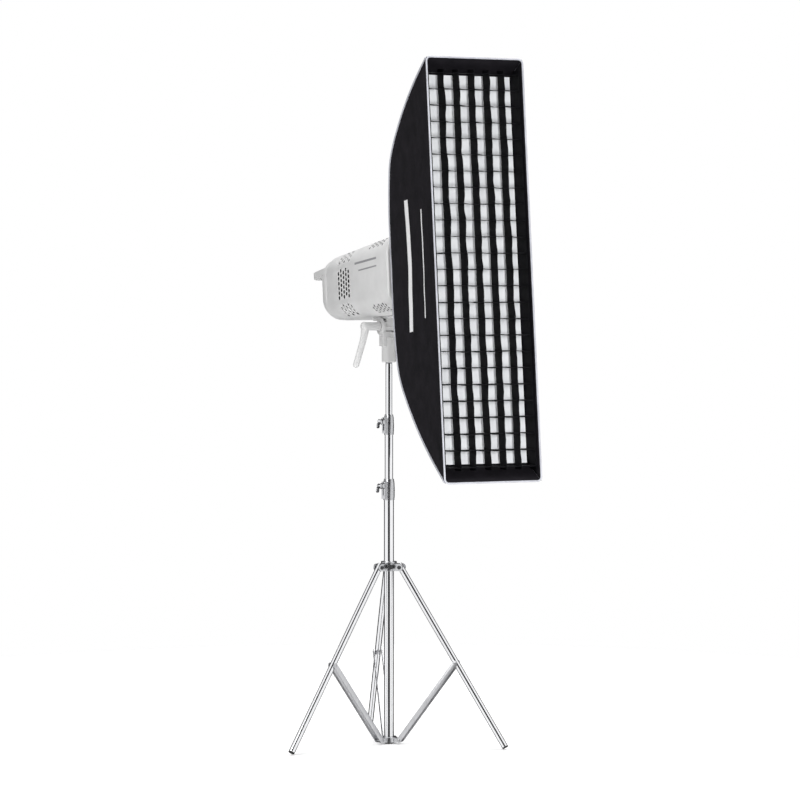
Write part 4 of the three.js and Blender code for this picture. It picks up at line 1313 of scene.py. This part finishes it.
def half_width(depth):
    """Half of the softbox's width at a depth."""
    return BACK_HALF_WIDTH + (HALF_WIDE - BACK_HALF_WIDTH) * (max(depth, 0) / BOX_DEPTH) ** 0.4


def in_box(x, depth, height):
    """A place in the softbox, in the head's space."""
    return Vector((x, FRONT_Y + BOX_DEPTH - depth, LIGHT + height - DROOP * depth / BOX_DEPTH))


WRAP_ROWS = 240
outline = [outline_at(2 * k / WRAP_ROWS - 1) for k in range(WRAP_ROWS + 1)]
WRAP_LENGTH = sum(math.dist(p, q) for p, q in zip(outline, outline[1:]))
print("the wrap is", round(WRAP_LENGTH), "mm long when laid flat")

# %% Cloth grids


def cloth(columns, rows, place, name):
    """A grid of faces whose corners are put by a function of (u, v), each from 0 to 1."""
    bpy.ops.object.select_all(action="DESELECT")
    bpy.ops.mesh.primitive_grid_add(x_subdivisions=columns, y_subdivisions=rows, size=2)
    piece = bpy.context.object
    for vertex in piece.data.vertices:
        vertex.co = place((vertex.co.x + 1) / 2, (vertex.co.y + 1) / 2)
    piece.name = name
    return piece


def face_towards(piece, direction):
    """Turn an open sheet so that its outside faces a direction."""
    mean = sum((polygon.normal * polygon.area for polygon in piece.data.polygons), Vector())
    if mean.dot(Vector(direction)) < 0:
        edit(piece, bpy.ops.mesh.flip_normals)
    return piece


def ripple(x, y, z, size_mm, seed):
    """Smooth noise from -1 to 1 at a place in mm."""
    return noise.noise(Vector((x, y, z)) / size_mm + Vector((seed * 7.3, seed * 3.1, seed * 5.7)))


def lined(piece, skin):
    """Thicken a sheet inward, and give its inside the silver lining as far forward as the diffuser."""
    modify(piece, "SOLIDIFY", thickness=SHEET, offset=-1, material_offset=1, use_even_offset=True)
    piece.data.materials.append(skin)
    piece.data.materials.append(SILVER_CLOTH)
    for polygon in piece.data.polygons:
        if polygon.material_index == 1 and polygon.center.y < FRONT_Y + BOX_DEPTH - LINING_DEPTH:
            polygon.material_index = 0
    return smooth(piece, 40)


# %% [markdown]
# ## Wrap and side panels
# The rods pull the cloth tight along the seams, and between them it draws in a little, with long
# soft creases, and a hem is folded near the front of the side panels. The ripples are small sums of
# smooth noise stretched along the pull of the cloth, faded to nothing at the seams.

# %% Wrap panel
SHEET = 1.0
DIFFUSER_DEPTH = 329
LINING_DEPTH = DIFFUSER_DEPTH - 6
HUB_HOLE = 74


def wrap_place(u, v):
    """A point of the wrap: u across it, v along it."""
    depth, height = outline_at(2 * v - 1)
    w = half_width(depth)
    x = (2 * u - 1) * w
    slack = 4 * u * (1 - u) * min(1, 1.4 * (1 - abs(2 * v - 1)) + 0.1)
    creases = ripple(x * 0.35, depth, height * 0.9, 60, 1) + 0.5 * ripple(x, depth, height * 2.2, 35, 2)
    draw_in = slack * (3.0 + 1.8 * creases) * min(1, max(0, (abs(height) - 90) / 120))
    return in_box(x, depth + draw_in * 0.6, height - math.copysign(draw_in * 0.8, height))


wrap = cloth(28, WRAP_ROWS, wrap_place, "wrap")
face_towards(wrap, (0, 1, 0))
lined(wrap, SIDE_CLOTH)
combine(wrap, [rod("y", HUB_HOLE, -330, -250, 0, LIGHT, 96)], "DIFFERENCE")
fit(wrap, "wrap_panel_cloth", "softbox", "black_fabric", SIDE_CLOTH, HEAD, ["wrap_panel"])
wrap_area = sum(2 * half_width((p[0] + q[0]) / 2) * math.dist(p, q) for p, q in zip(outline, outline[1:]))
wrap_area -= math.pi * HUB_HOLE ** 2

# %% Side panels
SIDE_ROWS = 200
HEM_FOLD = 14
PRINTED_CLOTH = print_bars("black_nylon_oxford_printed", SIDE_CLOTH, (
    (FRONT_Y + 236, 15, LIGHT - 10, 190), (FRONT_Y + 116, 4, LIGHT - 16, 155)), "#e9e9ea")


def side_place(side):
    """The places of one side panel: u from the wrap seam to the front lip, v up."""
    def place(u, v):
        depth, height = outline_at((2 * v - 1) * 0.985)
        back = half_width(depth)
        x = back + (HALF_WIDE - back) * u
        y_depth = depth + (BOX_DEPTH - depth) * u
        freedom = min(1, (BOX_DEPTH - depth) / 120)
        slack = 4 * u * (1 - u) * freedom
        creases = ripple(y_depth * 0.8, height * 0.28, side * 30, 62, 3 + side)
        fine = ripple(y_depth * 1.3, height * 0.5, side * 50, 26, 6 + side)
        pull = slack * (5.5 + 2.6 * creases + 0.9 * fine)
        to_front = (1 - u) * (BOX_DEPTH - depth)
        hem = 0.9 * math.exp(-((to_front - HEM_FOLD) / 2.6) ** 2) * min(1, freedom * 2)
        return in_box(side * (x - pull - hem), y_depth, height)
    return place


panel_area = sum((BOX_DEPTH - (p[0] + q[0]) / 2) * abs(q[1] - p[1]) for p, q in zip(outline, outline[1:]))
for name, side in (("left", -1), ("right", 1)):
    panel = cloth(44, SIDE_ROWS, side_place(side), name)
    face_towards(panel, (side, 0, 0))
    lined(panel, PRINTED_CLOTH if side < 0 else SIDE_CLOTH)
    fit(panel, f"{name}_side_cloth", "softbox", "black_fabric", SIDE_CLOTH, HEAD, [f"{name}_side_panel"])
print("cover done, side panel", round(panel_area / 1e6, 3), "square metres")

# %% [markdown]
# ## Piping
# The seams are bound with a pale grey piping that draws the softbox's outline. It is a round
# cord in the seam, so it is a curve with a round section, turned into a mesh.

# %% Piping
PIPING_R = 2.6
PROUD = 0.6
RIM_CORNER = 12
seams = [
    swept([in_box(side * (half_width(depth) + PROUD), depth - 0.8, height)
           for depth, height in outline[1:-1]], PIPING_R)
    for side in (-1, 1)]
rim = []
for sx, sz, start in ((1, 1, 0), (-1, 1, 90), (-1, -1, 180), (1, -1, 270)):
    for step in range(7):
        turn = math.radians(start + 15 * step)
        x = sx * (HALF_WIDE - RIM_CORNER) + (RIM_CORNER + PROUD) * math.cos(turn)
        z = sz * (HALF_TALL - RIM_CORNER) + (RIM_CORNER + PROUD) * math.sin(turn)
        rim.append(in_box(x, BOX_DEPTH, z))
seams.append(swept(rim, PIPING_R, closed=True))
fit(gather(seams), "seam_piping", "softbox", "white_fabric", PIPING_CLOTH, HEAD)

# %% [markdown]
# ## Diffusers and grid
# Two white nylon sheets soften the light, each stretched across the inside of the cover and held
# there by tape. In front of the outer one hangs the grid: webbing strips on edge, near 50 mm
# apart. They are never quite straight, because they only hang from the lip.

# %% Diffusers


def across(depth, margin):
    """Half sizes of a sheet across the inside at a depth."""
    height = max(h for d, h in outline if d <= depth)
    return half_width(depth) - margin, height - margin


def sheet_place(depth, half_x, half_z, slack, seed):
    """The places of a sheet that spans the softbox, slack in its middle and creased at its edges."""
    def place(u, v):
        x, z = (2 * u - 1) * half_x, (2 * v - 1) * half_z
        inside = min(1, 6 * u * (1 - u)) * min(1, 14 * v * (1 - v))
        waves = ripple(x, 0, z * 0.6, 70, seed) + 0.35 * ripple(x * 1.6, 0, z * 1.2, 24, seed + 1)
        return in_box(x, depth - inside * slack * (0.6 + 0.9 * waves), z)
    return place


def diffusion_sheet(node, cells, place):
    """One white sheet, thickened inward, that faces the front and rests on its neighbours."""
    sheet = face_towards(cloth(*cells, place, node), (0, -1, 0))
    modify(sheet, "SOLIDIFY", thickness=0.8, offset=-1)
    fit(smooth(sheet, 50), node + "_cloth", "softbox", "white_fabric", WHITE_CLOTH, HEAD, [node])


half_x, half_z = across(DIFFUSER_DEPTH, 9)
half_z += 4   # taped right up to the top and bottom of the wrap, but clear of the drawn-in side panels
diffusion_sheet("front_diffuser", (36, 150), sheet_place(DIFFUSER_DEPTH, half_x, half_z, 4, 11))

BAFFLE_DEPTH = 190
half_x, half_z = across(BAFFLE_DEPTH, 24)
diffusion_sheet("inner_baffle", (24, 80), sheet_place(BAFFLE_DEPTH, half_x, half_z, 3, 15))

# %% Grid
GRID_COLUMNS, GRID_ROWS = 6, 24
STRIP_THICK, STRIP_WIDTH = 1.5, 42
GRID_FRONT = BOX_DEPTH - 8
EDGE_STRAY, COLUMN_STRAY, ROW_STRAY = 0.5, 3.4, 2.6
CELL_SAG = 1.4
GRID_HALF_X = HALF_WIDE - 8
GRID_HALF_Z = HALF_TALL - 42
strips = []


def grid_shift(x, z, seed, amount):
    """How far a strip strays from its line at a place."""
    return amount * (ripple(x, seed * 31, z, 55, seed) + 0.5 * ripple(x, seed * 17, z, 22, seed + 2))


for column in range(GRID_COLUMNS + 1):
    x0 = -GRID_HALF_X + 2 * GRID_HALF_X * column / GRID_COLUMNS
    stray = EDGE_STRAY if column in (0, GRID_COLUMNS) else COLUMN_STRAY

    def upright_strip(u, v, x0=x0, stray=stray, column=column):
        z = (2 * v - 1) * (GRID_HALF_Z + 10)
        depth = GRID_FRONT - STRIP_WIDTH * u
        loose = 0.35 + 0.65 * (1 - u)
        return in_box(x0 + loose * grid_shift(x0, z, 20 + column, stray), depth, z)

    strips.append(cloth(4, 144, upright_strip, "strip"))
for row in range(GRID_ROWS + 1):
    z0 = -GRID_HALF_Z + 2 * GRID_HALF_Z * row / GRID_ROWS

    def cross_strip(u, v, z0=z0, row=row):
        x = (2 * v - 1) * GRID_HALF_X
        depth = GRID_FRONT - STRIP_WIDTH * u
        cell = (v * GRID_COLUMNS) % 1
        sag = -CELL_SAG * math.sin(math.pi * cell) * (1 - u)
        loose = 0.35 + 0.65 * (1 - u)
        return in_box(x, depth, z0 + sag + loose * grid_shift(x, z0, 40 + row, ROW_STRAY))

    strips.append(cloth(4, 48, cross_strip, "strip"))
grid = gather(strips)
modify(grid, "SOLIDIFY", thickness=STRIP_THICK, offset=0)
smooth(grid, 50)
fit(grid, "fabric_grid_strips", "softbox", "grid_fabric", GRID_CLOTH, HEAD, ["fabric_grid"])
print("grid of", GRID_COLUMNS, "by", GRID_ROWS, "cells,", len(grid.data.polygons), "faces")

# %% [markdown]
# ## Spring rods
# Four rods of tempered steel plug into the speedring and bend along the corners of the cover. Each
# follows the cover's outline a little inside it, and ends in a plastic cap at the front.

# %% Rods
SOCKET_X, SOCKET_Z, SOCKET_DEPTH = 44, 56, 32
ROD_R = 2.4
for number, (sx, sz) in enumerate(((-1, 1), (1, 1), (-1, -1), (1, -1)), 1):
    path = [in_box(sx * SOCKET_X, SOCKET_DEPTH, sz * SOCKET_Z)]
    for k, (depth, height) in enumerate(outline):
        if height < 72 or depth > DIFFUSER_DEPTH - 26:
            continue
        before, after = outline[k - 1], outline[min(k + 1, WRAP_ROWS)]
        step = Vector((after[0] - before[0], after[1] - before[1])).normalized()
        inner_depth, inner_height = depth + step.y * 10, height - step.x * 10
        ease = min(1, (inner_height - 40) / 190)
        reach = half_width(inner_depth) - 9
        x = SOCKET_X + (reach - SOCKET_X) * ease
        path.append(in_box(sx * x, max(inner_depth, SOCKET_DEPTH), sz * inner_height))
    rib = swept(path, ROD_R)
    rib.data.materials.append(SPRING)
    cap = ball(4.2, path[-1], 20, 12)
    cap.data.materials.append(DARK_NYLON)
    bpy.ops.object.shade_smooth()
    rib = gather([rib, cap])
    fit(rib, f"spring_rib_{number}_rod", "softbox", "spring_steel", SPRING, HEAD, [f"spring_rib_{number}"])
print("rods done")

# %% [markdown]
# ## Controls and small fittings
# The dial and the push buttons are turned and domed. Simple moulded parts start from a copy of
# their CAD solid: its loose triangles are merged, flat faces joined, and the edges rounded.

# %% Rounded copies of CAD solids


def rounded_copy(node, width, space, segments=2):
    """A copy of a CAD solid with clean faces and rounded edges, in mm in its own space."""
    mesh = frame["nodes"][node].data.copy()
    mesh.materials.clear()
    mesh.transform(Matrix.Scale(1 / MM, 4) @ space.inverted())
    piece = bpy.data.objects.new(node + "_copy", mesh)
    bpy.context.scene.collection.objects.link(piece)
    edit(piece, lambda: bpy.ops.mesh.remove_doubles(threshold=0.01),
         lambda: bpy.ops.mesh.dissolve_limited(angle_limit=math.radians(1)),
         lambda: bpy.ops.mesh.normals_make_consistent(inside=False))
    return soften(piece, width, segments, 30)


ROUNDED = (
    ("umbrella_holder", "umbrella_holder_block", "head", "dark_plastic", DARK_NYLON, 1.2),
    ("display_window", "display_window_pane", "head", "display_glass", WINDOW, 0.4),
    ("power_inlet", "power_inlet_socket", "head", "dark_plastic", DARK_NYLON, 0.3),
    ("power_switch", "power_rocker", "switch", "red_plastic", RED_PC, 0.5),
    ("stand_spigot", "stand_spigot_stud", "top", "cast_alloy", CAST, 0.3),
)
for node, name, body, slot, material, width in ROUNDED:
    space = WORLD if body == "top" else HEAD
    fit(rounded_copy(node, width, space), name, body, slot, material, space, [node])

# %% Head bracket
TONGUE_HALF = CHEEK_IN - 0.4
tongue = rod("x", 17, -TONGUE_HALF, TONGUE_HALF, 0, 0, 64)
neck = block(-TONGUE_HALF, TONGUE_HALF, -17, 17, 0, 26)
plate = rounded_copy("head_bracket", 0.01, HEAD)
combine(plate, [tongue, neck])
combine(plate, [rod("x", BOLT_BORE, -40, 40, 0, 0, 40)], "DIFFERENCE")
fit(soften(plate, 1.6, 3, 40), "head_bracket_moulding", "head", "white_shell", WHITE_ABS, HEAD,
    ["head_bracket"])

# %% Dial and buttons
dial = turned([(0, 270), (12, 270), (12, 277.6), (13.4, 277.6), (14, 278.4), (14, 286.4), (13, 288), (9, 288),
               (8, 287.2), (0, 287.2)], 72)
move(dial, (DIAL_X, 0, DIAL_Z), -90)
combine(dial, [ring_of_grooves("y", 24, 14.3, 0.9, 279, 290, DIAL_X, DIAL_Z, 10)], "DIFFERENCE")
fit(soften(dial, 0.25, 1), "control_dial_knob", "dial", "dark_plastic", DARK_NYLON, HEAD, ["control_dial"])
for number, x in enumerate(BUTTON_XS, 1):
    button = turned([(0, 269), (6, 269), (6, 278.2), (5.2, 279.1), (3, 279.5), (0, 279.6)], 48)
    move(button, (x, 0, BUTTON_Z), -90)
    fit(smooth(button, 35), f"control_button_{number}_cap", f"button_{number}", "dark_plastic",
        DARK_NYLON, HEAD, [f"control_button_{number}"])

# %% Umbrella thumbscrew
umbrella_pos = HEAD.inverted() @ Vector(joints["umbrella_screw_turn"]["pos_m"]) / MM
thumb = turned([(0, 5.4), (3, 5.4), (3, 21), (6.4, 21), (7, 22), (7, 29), (6.2, 30), (0, 30)], 48)
move(thumb, (0, umbrella_pos.y, umbrella_pos.z), 90, "Y")
grooves = ring_of_grooves("x", 14, 7.3, 0.8, 22.5, 28.5, umbrella_pos.y, umbrella_pos.z, 10)
combine(thumb, [grooves], "DIFFERENCE")
fit(soften(thumb, 0.2, 1), "umbrella_thumbscrew", "umbrella_lock", "dark_plastic", DARK_NYLON, HEAD,
    ["umbrella_screw"])

# %% [markdown]
# ## Inside the head
# The parts inside keep their CAD solids, which already have the right shape, and take a finish each.

# %% Finishes for carried-over nodes
CARRIED = {
    "heat_sink": HEAT_METAL, "led_module": PHOSPHOR, "reflector_cone": HEAT_METAL, "fan_frame": DARK_NYLON,
    "fan_rotor": DARK_NYLON, "driver_board": BOARD,
}
for node, material in CARRIED.items():
    mesh = frame["nodes"][node].data
    mesh.materials.clear()
    mesh.materials.append(material)
print("carried over", len(CARRIED))
